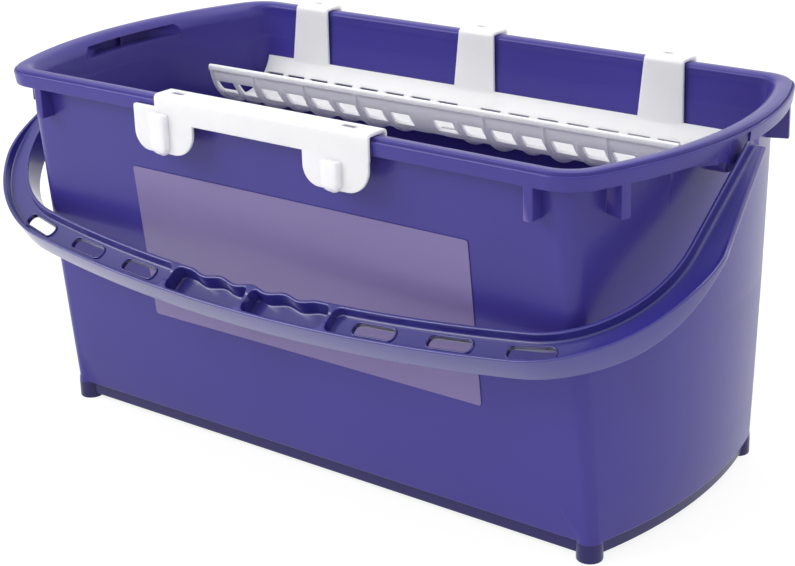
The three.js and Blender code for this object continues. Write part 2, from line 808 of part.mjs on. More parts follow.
// A hook over the rim: a top plate with rounded edges and a leg outside the skirt
function hook(place) {
  const half = strap_top_width / 2;
  const inner = strap_back_place + strap_lean * (tub_height - gutter_back_level) - strap_thickness;
  const leg_inner = rim_half_width + hook_side_gap;
  const leg_outer = leg_inner + hook_thickness;
  const seat = tub_height + rim_seat_gap;
  const plate = rounded_rectangle(inner, seat, leg_outer, hook_top, [0, 0, hook_round, hook_round]);
  const leg = [
    [leg_inner, hook_top - hook_round],
    [leg_inner, tub_height - hook_leg_length],
    [leg_outer, tub_height - hook_leg_length],
    [leg_outer, hook_top - hook_round],
  ];
  const body = joined([
    prism_along_x(plate, place - half, place + half),
    prism_along_x(leg, place - half, place + half),
  ]);
  const window_x = place + hook_window_offset;
  return body.subtract(
    block(
      [window_x - hook_window_length / 2, leg_inner - hook_window_width, seat - overrun],
      [window_x + hook_window_length / 2, leg_inner, hook_top + overrun]));
}

function sieve_tray() {
  const places = [-strap_pitch, 0, strap_pitch];
  const hung = places.flatMap((place) => [strap(place), hook(place)]);
  return joined([gutter().subtract(gutter_windows()), ...hung]);
}

// Tool holder on the front rim

function holder_bar() {
  const front_inner = -rim_half_width - rim_seat_gap;
  const front_outer = front_inner - bar_plate_thickness;
  const seat = tub_height + rim_seat_gap;
  const top = seat + bar_plate_thickness;
  const back_foot = tub_height - bar_back_drop;
  const back_outer = bar_back_gap - Math.min(inner_wall_place(back_foot), lip_place);
  const back_inner = back_outer + bar_plate_thickness;
  const round = bar_plate_thickness * bar_round_share;
  const section = [
    [front_outer, tub_height - bar_front_drop],
    [front_inner, tub_height - bar_front_drop],
    [front_inner, seat],
    [back_outer, seat],
    [back_outer, back_foot],
    [back_inner, back_foot],
    ...arc(back_inner - round, top - round, round, 0, Math.PI / 2, corner_steps),
    ...arc(front_outer + round, top - round, round, Math.PI / 2, Math.PI, corner_steps),
  ];
  const middle = (front_inner + back_outer) / 2;
  const windows = bar_window_places.map((place) =>
    block(
      [place - bar_window_length / 2, middle - bar_window_width / 2, seat - overrun],
      [place + bar_window_length / 2, middle + bar_window_width / 2, top + overrun]));
  return prism_along_x(section, bar_left_end, bar_right_end).subtract(joined(windows));
}

// A tongue below the bar: a plate with rounded lower corners and a half-round rib down its middle
function holder_tongue(place, top_level) {
  const plate_inner = -rim_half_width - rim_seat_gap;
  const plate_outer = plate_inner - bar_plate_thickness;
  const low = tub_height - tongue_bottom_drop;
  const half = tongue_width / 2;
  const corner = tongue_corner_radius;
  const face = rounded_rectangle(place - half, low, place + half, top_level, [corner, corner, 0, 0]);
  return joined([
    prism_along_y(face, plate_outer, plate_inner),
    tongue_rib(place + tongue_rib_offset, plate_outer),
  ]);
}

// The rib is a round bar down the face, cut to a low half round, with a ball at its foot
function tongue_rib(place, face) {
  const radius = tongue_rib_radius;
  const sunk = radius - tongue_rib_height;
  const foot = tub_height - tongue_bottom_drop - tongue_rib_overhang + radius;
  const top = tub_height - tongue_rib_top_drop;
  const column = new THREE.CylinderGeometry(radius, radius, top - foot, round_steps);
  column.rotateX(Math.PI / 2);
  const ball = new THREE.SphereGeometry(radius, round_steps, round_steps / 2).rotateX(Math.PI / 2);
  const bar = joined([
    placed(column, place, face + sunk, (top + foot) / 2),
    placed(ball, place, face + sunk, foot),
  ]);
  const front = block(
    [place - 2 * radius, face - 2 * radius, foot - 2 * radius],
    [place + 2 * radius, face + bar_plate_thickness / 2, top + overrun]);
  return bar.intersect(front);
}

function tool_holder() {
  const tops = [tub_height - tongue_top_drop, tub_height - bar_front_drop + overrun];
  const tongues = tongue_places.map((place, i) => holder_tongue(place, tops[i]));
  return joined([holder_bar(), ...tongues]);
}

// Label film on the front wall, turned to the wall's slope

function front_label() {
  const group = new THREE.Group();
  const slope = Math.atan2(wall_side_draft, flange_underside - wall_foot_height);
  const half = label_length / 2;
  const radius = label_corner_radius;
  const film = prism_along_y(
    rounded_rectangle(-half, 0, half, label_height, [radius, radius, radius, radius]),
    -label_thickness, 0);
  const mesh = part("front_label", film, 0x8778ae, 0.35);
  mesh.position.y = -label_gap;
  group.add(mesh);
  group.rotation.x = slope;
  group.position.set(label_offset, -wall_at(label_foot_height).half_width, label_foot_height);
  return group;
}

// Assembly

const model = new THREE.Group();
model.add(part("bucket_tub", bucket_tub(), 0x4b4896, 0.3));

const handle_pivot = new THREE.Group();
handle_pivot.position.z = pivot_level;
handle_pivot.rotation.x = fold;
handle_pivot.add(part("carry_handle", carry_handle(), 0x45429a, 0.3));
model.add(handle_pivot);

const sieve_seat = new THREE.Group();
sieve_seat.position.x = sieve_offset;
sieve_seat.add(part("sieve_tray", sieve_tray(), 0xf7f6fb, 0.35));
model.add(sieve_seat);

model.add(part("tool_holder", tool_holder(), 0xfaf9f7, 0.35));
model.add(front_label());

// The origin goes under the middle of the whole object
const bounds = new THREE.Box3().setFromObject(model, true);
const middle = bounds.getCenter(new THREE.Vector3());
model.position.set(-middle.x, -middle.y, -bounds.min.z);

const bucket = new THREE.Group();
bucket.add(model);

export default bucket;
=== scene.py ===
"""Window cleaning bucket: finished surfaces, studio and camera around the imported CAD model.

Lengths are in metres, in the CAD model's frame: +X along the bucket, -Y its front, +Z up.
Every piece is a surface worked out on a grid, and its place is in its mesh.
"""

import json

import bpy
import numpy as np
from mathutils import Matrix


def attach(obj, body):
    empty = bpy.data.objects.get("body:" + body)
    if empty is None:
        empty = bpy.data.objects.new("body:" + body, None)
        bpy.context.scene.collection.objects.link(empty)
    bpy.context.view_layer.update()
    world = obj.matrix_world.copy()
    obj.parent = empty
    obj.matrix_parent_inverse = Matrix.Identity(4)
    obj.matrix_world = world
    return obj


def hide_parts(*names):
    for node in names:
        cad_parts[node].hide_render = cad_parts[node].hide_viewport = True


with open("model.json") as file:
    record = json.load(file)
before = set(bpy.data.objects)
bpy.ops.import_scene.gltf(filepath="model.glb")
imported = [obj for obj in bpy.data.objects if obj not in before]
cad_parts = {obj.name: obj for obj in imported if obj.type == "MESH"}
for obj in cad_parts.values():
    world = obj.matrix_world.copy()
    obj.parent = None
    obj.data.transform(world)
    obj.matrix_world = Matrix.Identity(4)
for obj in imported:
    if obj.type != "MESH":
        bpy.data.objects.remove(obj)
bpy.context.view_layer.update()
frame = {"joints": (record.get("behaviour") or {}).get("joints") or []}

bl_info = {
    "name": "Window cleaning bucket",
    "version": (1, 0, 0),
    "blender": (4, 5, 0),
    "location": "View3D > Sidebar > Bucket",
    "description": "Builds the bucket's finished pieces, materials, studio and camera",
    "category": "Object",
}

MM = 0.001
SHARP_ANGLE = np.radians(35.0)
TINY = 1e-9
MOST_OF_SIDE = 0.49
LEAST_ROUND = 1e-7
CORNERS = [(end, side) for end in (-1, 1) for side in (-1, 1)]

pivot = next(joint for joint in frame["joints"] if joint["name"] == "handle_swing")["pos_m"]
PIVOT_LEVEL = pivot[2] / MM
MIDDLE = np.array([0.0, pivot[1], 0.0])


# Arrays and meshes


def spread(*values):
    """One array out of several that are spread over their common grid, as its last dimension."""
    return np.stack(np.broadcast_arrays(*values), -1)


def arc(centre_a, centre_b, radius, start, end, steps):
    """Points on a circle about a centre, from one angle in degrees to another, both included."""
    angle = np.radians(np.linspace(start, end, steps + 1))
    return spread(centre_a + radius * np.cos(angle), centre_b + radius * np.sin(angle))


def rounded_rings(points, radii, steps=5, measure=slice(None)):
    """Closed polylines (rings, corners, dimensions) whose corners are replaced by quadratic curves.

    At each corner the curve starts and ends the corner's radius away along the two sides, at most
    just under half a side, and the corner itself is its control point. Lengths are taken over the
    measured dimensions alone.
    """
    radii = np.asarray(radii, float)[None, :, None]

    def towards(neighbour):
        side = neighbour - points
        length = np.linalg.norm(side[..., measure], axis=2, keepdims=True)
        share = np.minimum(radii / np.maximum(length, TINY), MOST_OF_SIDE)
        return (points + side * share)[:, :, None]

    start, end = towards(np.roll(points, 1, 1)), towards(np.roll(points, -1, 1))
    t = np.linspace(0, 1, steps + 1)[:, None]
    curve = (1 - t) ** 2 * start + 2 * t * (1 - t) * points[:, :, None] + t**2 * end
    return curve.reshape(len(points), -1, points.shape[2])


def rounded_path(points, radii, steps=5, measure=slice(None)):
    """An open polyline whose inner corners are replaced by quadratic curves, its ends kept."""
    points = np.asarray(points, float)
    curve = rounded_rings(points[None], radii, steps, measure)[0]
    return np.concatenate([points[:1], curve[steps + 1 : -(steps + 1)], points[-1:]])


def rounded_box(low_a, low_b, high_a, high_b, radii, steps=6, grow=0.0):
    """The outline of a rectangle, grown by an amount on each side, with its own radius at each corner.

    It runs counterclockwise from low, low.
    """
    low_a, low_b, high_a, high_b = low_a - grow, low_b - grow, high_a + grow, high_b + grow
    corners = (low_a, low_b, 1, 1), (high_a, low_b, -1, 1), (high_a, high_b, -1, -1), (low_a, high_b, 1, -1)
    rounds = [
        arc(a + da * r, b + db * r, r, 180 + 90 * i, 270 + 90 * i, steps)
        for i, ((a, b, da, db), r) in enumerate(zip(corners, np.maximum(radii, LEAST_ROUND)))
    ]
    return np.concatenate(rounds)


def grid_mesh(points, wrap_rows=False):
    """Vertices and faces of a grid of points (rows, columns, 3) whose columns wrap round.

    Rows either wrap round too, or each end row is closed by one face.
    """
    rows, columns = points.shape[:2]
    index = np.arange(rows * columns).reshape(rows, columns)
    lower = index if wrap_rows else index[:-1]
    upper = np.roll(index, -1, 0) if wrap_rows else index[1:]
    faces = np.stack([lower, np.roll(lower, -1, 1), np.roll(upper, -1, 1), upper], -1).reshape(-1, 4)
    ends = [] if wrap_rows else [index[:1, ::-1], index[-1:]]
    return points.reshape(-1, 3), [faces, *ends]


def outward(shell):
    """The same shell with its faces turned outwards: the volume summed over them is positive."""
    vertices, faces = shell
    about_middle = vertices - vertices.mean(0)
    volume = 0.0
    for block in faces:
        for corner in range(1, block.shape[1] - 1):
            a, b, c = (about_middle[block[:, k]] for k in (0, corner, corner + 1))
            volume += np.einsum("ij,ij->i", a, np.cross(b, c)).sum()
    return vertices, [block[:, ::-1] for block in faces] if volume < 0 else faces


def soften(mesh):
    """Shades a mesh smooth, except over its sharp edges."""
    mesh.shade_smooth()
    mesh.set_sharp_from_angle(angle=SHARP_ANGLE)


def build_object(name, shells):
    """One mesh object out of closed shells in metres."""
    mesh = bpy.data.meshes.new(name)
    shells = [outward(shell) for shell in shells]
    starts = np.cumsum([0] + [len(vertices) for vertices, _ in shells])
    vertices = np.concatenate([vertices for vertices, _ in shells])
    blocks = [block + start for (_, faces), start in zip(shells, starts) for block in faces]
    loops = np.concatenate([block.reshape(-1) for block in blocks])
    sizes = np.concatenate([np.full(len(block), block.shape[1]) for block in blocks])
    mesh.vertices.add(len(vertices))
    mesh.vertices.foreach_set("co", vertices.astype(np.float32).reshape(-1))
    mesh.loops.add(len(loops))
    mesh.loops.foreach_set("vertex_index", loops.astype(np.int32))
    mesh.polygons.add(len(sizes))
    mesh.polygons.foreach_set("loop_start", (np.cumsum(sizes) - sizes).astype(np.int32))
    mesh.update(calc_edges=True)
    mesh.validate()
    piece = bpy.data.objects.new(name, mesh)
    bpy.context.scene.collection.objects.link(piece)
    soften(mesh)
    return piece


def build_piece(name, shells):
    """One mesh object out of closed shells in millimetres about the tub's middle."""
    return build_object(name, [(vertices * MM + MIDDLE, faces) for vertices, faces in shells])


def combine(piece, other, operation):
    """Joins another object to a piece or cuts it out with an exact Boolean, applied to the piece's mesh."""
    modifier = piece.modifiers.new("combine", "BOOLEAN")
    modifier.operation = operation
    modifier.solver = "EXACT"
    modifier.use_self = True
    modifier.object = other
    graph = bpy.context.evaluated_depsgraph_get()
    done = bpy.data.meshes.new_from_object(piece.evaluated_get(graph))
    piece.modifiers.clear()
    spent = [piece.data, other.data]
    piece.data = done
    bpy.data.objects.remove(other)
    for mesh in spent:
        bpy.data.meshes.remove(mesh)
    done.name = piece.name
    soften(done)


def cut(piece, shells):
    """Takes closed shells in millimetres about the tub's middle out of a piece."""
    combine(piece, build_piece(piece.name + "_cut", shells), "DIFFERENCE")


def level(points):
    """Points of a plate that lies level: its outline in plan, its faces at two heights."""
    return points


def upright(points, end):
    """Points whose plan stands across the bucket, with their heights along X towards an end."""
    return spread(end * points[..., 2], points[..., 0], points[..., 1])


def slab(outline, in_space, low, high, edge=0.01, steps=1):
    """A plate: a flat outline carried between two heights, with its rim rounded at both faces.

    outline(inset) gives the outline's points drawn in by an inset, and in_space turns points
    (outline's two numbers and the height) into space.
    """
    turn = np.linspace(0, np.pi / 2, steps + 1)
    inset = np.concatenate([edge * (1 - np.sin(turn)), edge * (1 - np.cos(turn))])
    height = np.concatenate([low + edge * (1 - np.cos(turn)), high - edge * (1 - np.sin(turn))])
    drawn = np.stack([outline(d) for d in inset])
    return grid_mesh(in_space(spread(drawn[..., 0], drawn[..., 1], height[:, None])))


def revolve(profile, steps=48):
    """A profile of (radius, height) turned about Z; its end points lie near the axis."""
    angle = np.linspace(0, 2 * np.pi, steps, endpoint=False)
    radius, height = np.asarray(profile, float).T[:, :, None]
    return grid_mesh(spread(radius * np.cos(angle), radius * np.sin(angle), height))


def moved(shell, offset):
    """A shell moved by an offset."""
    vertices, faces = shell
    return vertices + np.asarray(offset, float), faces


# Shapes of the bucket, in millimetres about the tub's middle
# An outline is a half length, half width, corner radius and bow radius

RIM = np.array([250.0, 125.9, 26.5, 264.5])
WALL_TOP = RIM - np.array([14.4, 8.7, 12.5, 5.5])
WALL_FOOT = WALL_TOP - np.array([8.2, 23.6, 6.0, -67.0])
WALL = 3.2
HEIGHT = 242.2
FOOT_LEVEL = 12.5
UNDERSIDE = 3.4
FLOOR = 7.8
FLANGE = HEIGHT - 3.0
TRIM_TOP = FLANGE + 0.4
SKIRT_FOOT = HEIGHT - 10.9
SKIRT_FACE = 1.4
STEP = HEIGHT - 24.3
FLARE = HEIGHT - 7.0
HOUSING_FACE = RIM[0] - 2.2
HOLLOW_MOUTH = RIM[0] - 24.0
HOLLOW_BACK = HOUSING_FACE - 2.4
BORE_RADIUS = 3.35
BORE_LENGTH = 14.0
BOW_STEPS = 24
CORNER_STEPS = 14
SIDE_STEPS = 10


def inset(outline, amount):
    """An outline drawn in: half length, half width and bow shrink by the amount, the corner by half."""
    return outline - np.array([1.0, 1.0, 0.5, 1.0]) * amount


def wall_at(height):
    """The wall's outer outline at a height: a straight mix of the foot's and the top's outlines."""
    share = (height - FOOT_LEVEL) / (FLANGE - FOOT_LEVEL)
    return WALL_FOOT + (WALL_TOP - WALL_FOOT) * share


def bowed_rings(outlines):
    """Rings of a bowed oblong, one for each outline.

    A quarter is an arc of the bow's radius about (length - bow, 0), then an arc of the corner's
    radius that touches the bow from inside and the side at half width, then the straight side.
    The quarter is mirrored into the whole ring.
    """
    length, width, corner, bow = outlines.T[:, :, None]
    bow_middle = length - bow
    across = width - corner
    along = bow_middle + np.sqrt((bow - corner) ** 2 - across**2)
    meet = np.arcsin(across / (bow - corner))
    on_bow = np.linspace(0, 1, BOW_STEPS + 1) * meet
    turn = meet + (np.pi / 2 - meet) * np.linspace(0, 1, CORNER_STEPS + 1)[1:]
    side = along * np.linspace(1, 0, SIDE_STEPS + 1)[1:-1]
    x = np.concatenate([bow_middle + bow * np.cos(on_bow), along + corner * np.cos(turn), side], 1)
    y = np.concatenate([bow * np.sin(on_bow), across + corner * np.sin(turn), width + 0 * side], 1)
    quarter = spread(x, y)
    middle = spread(0 * width, width)
    back_left, front_right = quarter[:, ::-1] * [-1, 1], quarter[:, :0:-1] * [1, -1]
    return np.concatenate([quarter, middle, back_left, -quarter[:, 1:], -middle, front_right], 1)


def loft(stations):
    """A closed shell through stations, each turn of its section a small quadratic round.

    A station is an outline, how far it is drawn in, its level and the radius of its round.
    """
    points = np.array([[*inset(outline, amount), height] for outline, amount, height, _ in stations])
    rows = rounded_path(points, [radius for *_, radius in stations], steps=6, measure=[1, 4])
    ring = bowed_rings(rows[:, :4])
    return grid_mesh(spread(ring[..., 0], ring[..., 1], rows[:, 4:]))


def tub_shell():
    """The tub as one skin: up the outside, over the bead, groove and skirt of the rim, down the inside."""
    return loft([
        (WALL_FOOT, 14, UNDERSIDE, 0),
        (WALL_FOOT, 3.0, UNDERSIDE, 1.4),
        (WALL_FOOT, 3.0, FOOT_LEVEL, 0.6),
        (WALL_FOOT, 0, FOOT_LEVEL, 1.3),
        *[(wall_at(height), 0, height, 0.1) for height in (40.0, 120.0, 200.0)],
        (WALL_TOP, 0, FLANGE, 1.2),
        (RIM, 3.2, FLANGE, 0.8),
        (RIM, 3.4, SKIRT_FOOT, 0.5),
        (RIM, SKIRT_FACE, SKIRT_FOOT, 0.6),
        (RIM, 0.4, HEIGHT - 2.9, 0.7),
        (RIM, 1.1, HEIGHT - 1.9, 0.35),
        (RIM, 2.1, HEIGHT - 2.9, 0.25),
        (RIM, 2.7, HEIGHT - 0.4, 0.5),
        (RIM, 4.4, HEIGHT, 0.9),
        (RIM, 8.4, HEIGHT, 2.0),
        (RIM, 12.2, HEIGHT - 1.4, 2.4),
        (wall_at(FLARE), 2.4, FLARE, 3.5),
        (wall_at(STEP), 2.65, STEP + 1.5, 1.2),
        (wall_at(STEP), 2.95, STEP, 1.2),
        *[(wall_at(height), WALL, height, 0.1) for height in (120.0, 40.0)],
        (wall_at(FLOOR), WALL, FLOOR, 8.0),
        (wall_at(FLOOR), 22.0, FLOOR, 0),
    ])


def trim_shell():
    """A solid whose face runs inside the thickness of floor and wall, to trim what stands on them."""
    return loft([
        (WALL_FOOT, 9.0, 6.9, 0),
        (WALL_FOOT, 6.5, 8.0, 0.1),
        (WALL_FOOT, 4.4, 9.5, 0.1),
        (WALL_FOOT, 3.3, 12.2, 0.1),
        (WALL_FOOT, 1.5, 12.9, 0.1),
        (wall_at(HEIGHT - 6.0), 1.4, HEIGHT - 6.0, 0.1),
        (RIM, 11.6, HEIGHT - 1.9, 0.1),
        (RIM, 11.6, HEIGHT, 0),
    ])


def foot_shells():
    """Four feet: a column with a rounded sole that runs up into the corner as a cone."""
    column = [[0.01, 0], [8.0, 0], [8.0, 14.0], [4.5, 26.0], [0.01, 26.0]]
    foot = revolve(rounded_path(column, [0, 1.2, 3.0, 1.0, 0], steps=5))
    place_x, place_y = WALL_FOOT[0] - 19.9, WALL_FOOT[1] - 6.6
    return [moved(foot, [end * place_x, side * place_y, 0]) for end, side in CORNERS]


def rib_shells():
    """Eight stacking ribs between wall and skirt: two at each corner, square to the edge they stand on."""
    side_place, end_place = 191.0, 92.5
    angle = np.arcsin(end_place / RIM[3])
    shells = []

    def outline(d):
        return rounded_box(-3 + d, -26, 3 - d, 0, [0.6] * 4, steps=3)

    for end, side in CORNERS:
        def on_side(p):
            return spread(end * side_place + p[..., 0], side * (RIM[1] - SKIRT_FACE + p[..., 1]), p[..., 2])

        def on_end(p):
            radial, across = RIM[3] - SKIRT_FACE + p[..., 1], p[..., 0]
            x = RIM[0] - RIM[3] + radial * np.cos(angle) - across * np.sin(angle)
            return spread(end * x, side * (radial * np.sin(angle) + across * np.cos(angle)), p[..., 2])

        shells += [slab(outline, place, HEIGHT - 30.0, TRIM_TOP, 0.7, steps=4) for place in (on_side, on_end)]
    return shells


def plan_slabs(points, low, high):
    """A level plate whose outline is a list of points, and its mirror image at the other end."""
    return [slab(lambda d: np.array(points) * [end, 1], level, low, high) for end in (-1, 1)]


def housing_shells():
    """At each end the hollow's casing between wall and skirt, and below it the bored pivot housing.

    The casing flares from its back at the skirt towards the tub.
    """
    back = HOLLOW_BACK + 2.3
    casing = [[HOLLOW_MOUTH, -52.3], [back, -23.3], [back, 23.3], [HOLLOW_MOUTH, 52.3]]
    half_width = 15
    outline = rounded_box(-half_width, PIVOT_LEVEL - 4.55, half_width, TRIM_TOP, [4.0, 4.0, 0.0, 0.0])
    middle = outline.mean(0)

    def drawn_in(d):
        return middle + (outline - middle) * (1 - d / half_width)

    return plan_slabs(casing, HEIGHT - 15.0, TRIM_TOP) + [
        slab(drawn_in, lambda p: upright(p, end), HOUSING_FACE - 24, HOUSING_FACE - 0.05, 0.8, steps=4)
        for end in (-1, 1)]


def pivot_cuts():
    """What is cut out at each end: the hollow round its rib, the notch in the skirt and the bore."""
    half = np.array([[HOLLOW_MOUTH, 1], [HOLLOW_BACK, 1], [HOLLOW_BACK, 21], [HOLLOW_MOUTH, 50]])
    rib_end = HOLLOW_BACK - 3
    before_rib = [[HOLLOW_MOUTH, -2], [rib_end, -2], [rib_end, 2], [HOLLOW_MOUTH, 2]]
    shells = []
    for plan in (half, half * [1, -1], before_rib):
        shells += plan_slabs(plan, HEIGHT - 12.6, HEIGHT - 4.7)
    arch = rounded_box(-11, SKIRT_FOOT - 4, 11, HEIGHT - 3.7, [0.0, 0.0, 1.2, 1.2])
    bore = [[0.01, 0], [BORE_RADIUS, 0], [BORE_RADIUS, BORE_LENGTH], [0.01, BORE_LENGTH]]
    points, faces = revolve(bore, 40)
    for end in (-1, 1):
        shells.append(slab(lambda d: arch, lambda p: upright(p, end), HOUSING_FACE, RIM[0] + 2))
        shells.append(moved((upright(points, end), faces), [end * (HOUSING_FACE - 12.2), 0, PIVOT_LEVEL]))
    return shells


# The handle, in its own plane: across the bucket, away from the pivots, and up out of the plane
# An edge of its band is a reach, half width, corner radius, bow radius and half width at the arm's end

HANDLE_OUTER = (180.2, 275.5, 100.0, 1200.0, 263.2)
HANDLE_INNER = (159.2, 252.5, 75.0, 1179.0, 251.2)
HALF_DEPTH = 8.4
CHANNEL_FLOOR = HALF_DEPTH - 6.0
FLANGE_WALL = 2.3
FINGER_PITCH = 25.6
GRIP_RIB = 64.0
GRIP_END = 65.5
TAIL = 10.5
END_ROUND = 4.0
SLOT_HALF_LENGTH = 14.2
SLOT_HALF_WIDTH = 4.1


def handle_edge(sizes, shares):
    """One edge of the handle's band, from the middle of the grip to the end of an arm.

    Shares from 0 to 1 run along the bow arc, 1 to 2 round the bend and 2 to 3 down the arm.
    """
    reach, half_width, corner, bow, tip = sizes
    across = half_width - corner
    bow_v = reach - bow
    bend_v = bow_v + np.sqrt((bow - corner) ** 2 - across**2)
    meet = np.arcsin(across / (bow - corner))
    on_bow = np.clip(shares, 0, 1) * meet
    turn = meet + np.clip(shares - 1, 0, 1) * (np.pi / 2 - meet)
    down = np.clip(shares - 2, 0, 1)
    x = bow * np.sin(on_bow), across + corner * np.sin(turn), half_width * (1 - down) + tip * down
    v = bow_v + bow * np.cos(on_bow), bend_v + corner * np.cos(turn), bend_v * (1 - down) - TAIL * down
    return spread(*[np.select([shares <= 1, shares <= 2], parts[:2], parts[2]) for parts in (x, v)])


def handle_in_frame(points):
    """Points (across, away, up) of the handle's plane turned down by the fold and set at the pivots."""
    fold = bpy.context.scene.bucket_handle.fold
    x, v, n = np.moveaxis(points, -1, 0)
    y = -v * np.cos(fold) - n * np.sin(fold)
    return spread(x, y, PIVOT_LEVEL - v * np.sin(fold) + n * np.cos(fold))


def eased(value, start, end):
    """A smooth step from 0 to 1 between two values."""
    t = np.clip((value - start) / (end - start), 0, 1)
    return t * t * (3 - 2 * t)


def handle_shell():
    """The handle as a closed channel section carried along its band from arm to arm.

    At each station the section spans from the outer to the inner edge. Its floor drops in the two
    grip pockets and rises in the cross ribs, under the grip the channel's back is filled, and beside
    a rib the flanges thicken along a quarter circle, so that pockets end in round corners. Towards
    the pivots the outer flange runs out into the floor's edge. The ends of the arms are rounded.
    """
    _, half_width, corner, bow, _ = HANDLE_OUTER
    meet_x = bow * (half_width - corner) / (bow - corner)
    at_ribs = (np.array([0.0, GRIP_RIB])[:, None] + np.linspace(-6.5, 6.5, 40)).reshape(-1)
    round_tip = 3 - 0.1 * np.cos(np.linspace(0, np.pi / 2, 24)) ** 1.5
    shares = np.unique(np.round(np.concatenate([
        np.linspace(0, 0.42, 150), np.clip(at_ribs, 0, None) / meet_x, np.linspace(0.42, 1, 60),
        np.linspace(1, 2, 60), np.linspace(2, 2.9, 30), round_tip,
    ]), 5))
    outer, inner = handle_edge(HANDLE_OUTER, shares), handle_edge(HANDLE_INNER, shares)
    place = np.abs(inner[:, 0])
    wave = 1.2 * (1 - np.cos(2 * np.pi * place / FINGER_PITCH))
    inner[:, 1] += np.where(place < 2 * FINGER_PITCH, wave, 0)
    outer, inner = (np.concatenate([edge[:0:-1] * [-1.0, 1.0], edge]) for edge in (outer, inner))

    x, v = np.abs(outer[:, 0]), outer[:, 1]
    past_end = np.clip((-v - (TAIL - END_ROUND)) / END_ROUND, 0, 1)
    h = HALF_DEPTH - END_ROUND + END_ROUND * np.sqrt(1 - 0.9998 * past_end**2)
    from_rib = np.where(v > 100, np.minimum(x, np.abs(x - GRIP_RIB)), 99.0)
    in_grip = 1 - eased(x, GRIP_END - 0.3, GRIP_END + 0.3)
    in_rib = 1 - eased(from_rib, 1.0, 2.4)
    floor = (CHANNEL_FLOOR - 4.0 * in_grip) * (1 - in_rib) + (HALF_DEPTH - 0.4) * in_rib
    back = -(HALF_DEPTH - 0.02) * in_grip
    past_corner = np.clip(1 - (from_rib - 1.5) / 4.5, 0, 1)
    wall = FLANGE_WALL + 4.5 * (1 - np.sqrt(1 - past_corner**2))
    run_out = eased(v, 52.0, 112.0)
    crest = floor + 0.05 + (h - floor - 0.05) * run_out
    hem = back - 0.05 - (h + back - 0.05) * np.where(x > 150, eased(v, 72.0, 142.0), 1.0)
    start = 1.7 * (1 - run_out) + 1.5 * eased(x, 180.0, 240.0)

    width = np.linalg.norm(inner - outer, axis=1)
    corners = np.stack([spread(*pair) for pair in (
        (start, hem), (start, crest), (start + wall, crest), (start + wall * 1.12, floor),
        (width - wall * 1.12, floor), (width - wall, h), (width, h), (width, -h),
        (width - FLANGE_WALL, -h), (width - FLANGE_WALL, back), (start + FLANGE_WALL, back),
        (start + FLANGE_WALL, hem))], 1)
    section = rounded_rings(corners, [0.8, 0.9, 0.9, 1.6, 1.6, 0.9, 0.9, 0.8, 0.5, 1.0, 1.0, 0.5], steps=4)
    along = (inner - outer) / width[:, None]
    band = outer[:, None, :] + along[:, None, :] * section[..., :1]
    return grid_mesh(handle_in_frame(np.concatenate([band, section[..., 1:]], -1)))


def slot_places():
    """Middle and slope of the three slots of one side: they follow the band's middle line."""
    shares = np.linspace(0, 2, 400)
    line_x, line_v = (handle_edge(HANDLE_OUTER, shares) + handle_edge(HANDLE_INNER, shares)).T / 2
    x = 94.5 + 50.5 * np.arange(3)
    slope = np.arctan2(np.gradient(line_v), np.gradient(line_x))
    return zip(x, np.interp(x, line_x, line_v), np.interp(x, line_x, slope))


def slot_outline(grow):
    """A slot's outline about its middle, grown by an amount."""
    a, b = SLOT_HALF_LENGTH, SLOT_HALF_WIDTH
    return rounded_box(-a, -b, a, b, [(b + grow) * 0.85] * 4, steps=8, grow=grow)


def slot_shells(rim, low, high):
    """Round-ended plugs for the six slots between two levels, or rounded rims of a width about them."""
    shells = []
    for place_x, place_v, slope in slot_places():
        for side in (-1, 1):
            def in_space(p):
                a, b, n = np.moveaxis(p, -1, 0)
                x = side * (place_x + a * np.cos(slope) - b * np.sin(slope))
                return handle_in_frame(spread(x, place_v + a * np.sin(slope) + b * np.cos(slope), n))

            if rim:
                section = rounded_box(0, low, rim, high, [0.1, 0.1, 0.5, 0.5], steps=3)
                path = [spread(*slot_outline(grow).T, height) for grow, height in section]
                shells.append(grid_mesh(in_space(np.stack(path)), wrap_rows=True))
            else:
                shells.append(slab(lambda d: slot_outline(0.0), in_space, low, high))
    return shells


def peg_shells():
    """The pivot pegs on the inner faces of the arms: round bars along X with an eased end."""
    start, end = 236.1, HANDLE_INNER[-1] + 1.1
    corners = [[0.01, 0], [2.3, 0], [3.0, 0.9], [3.0, end - start], [0.01, end - start]]
    points, faces = revolve(rounded_path(corners, [0, 0.3, 0.4, 0.1, 0], steps=3), 32)
    return [(handle_in_frame(upright(points + [0, 0, start], side)), faces) for side in (-1, 1)]


# The sieve, about its own middle
# A row of windows in the gutter is an angle in degrees and a half height along the arc

SIEVE_OFFSET = -13.2
SIEVE_HALF = 187.5
RIGHT_MORE = 10.0
SIEVE_RIGHT = SIEVE_HALF + RIGHT_MORE
WINDOW_HALF = 8.3
WINDOW_ROWS = ((216.6, 5.8), (262.0, 5.2), (308.0, 7.8))
OPENING_HALF = 8.5
OPENING_SPAN = (243.0, 280.0)
GUTTER_RADIUS = 33.5
GUTTER_WALL = 2.2
GUTTER_BACK = 344.0
GUTTER_LIP = 187.0
GUTTER_DROP = 37.5
GUTTER_LEVEL = HEIGHT - GUTTER_DROP
STRAP_BACK = wall_at(GUTTER_LEVEL)[1] - WALL - 0.5
STRAP_LEAN = (RIM[1] - 12.3 - 0.5 - STRAP_BACK) / GUTTER_DROP
GUTTER_Y = STRAP_BACK - GUTTER_RADIUS * np.cos(np.radians(GUTTER_BACK))
GUTTER_Z = GUTTER_LEVEL - GUTTER_RADIUS * np.sin(np.radians(GUTTER_BACK))
SEAT = HEIGHT + 0.3
STRAP_PLACES = (-146.5, 0.0, 146.5)
STRAP_THICK = 2.36
HOOK_HALF = 14.2


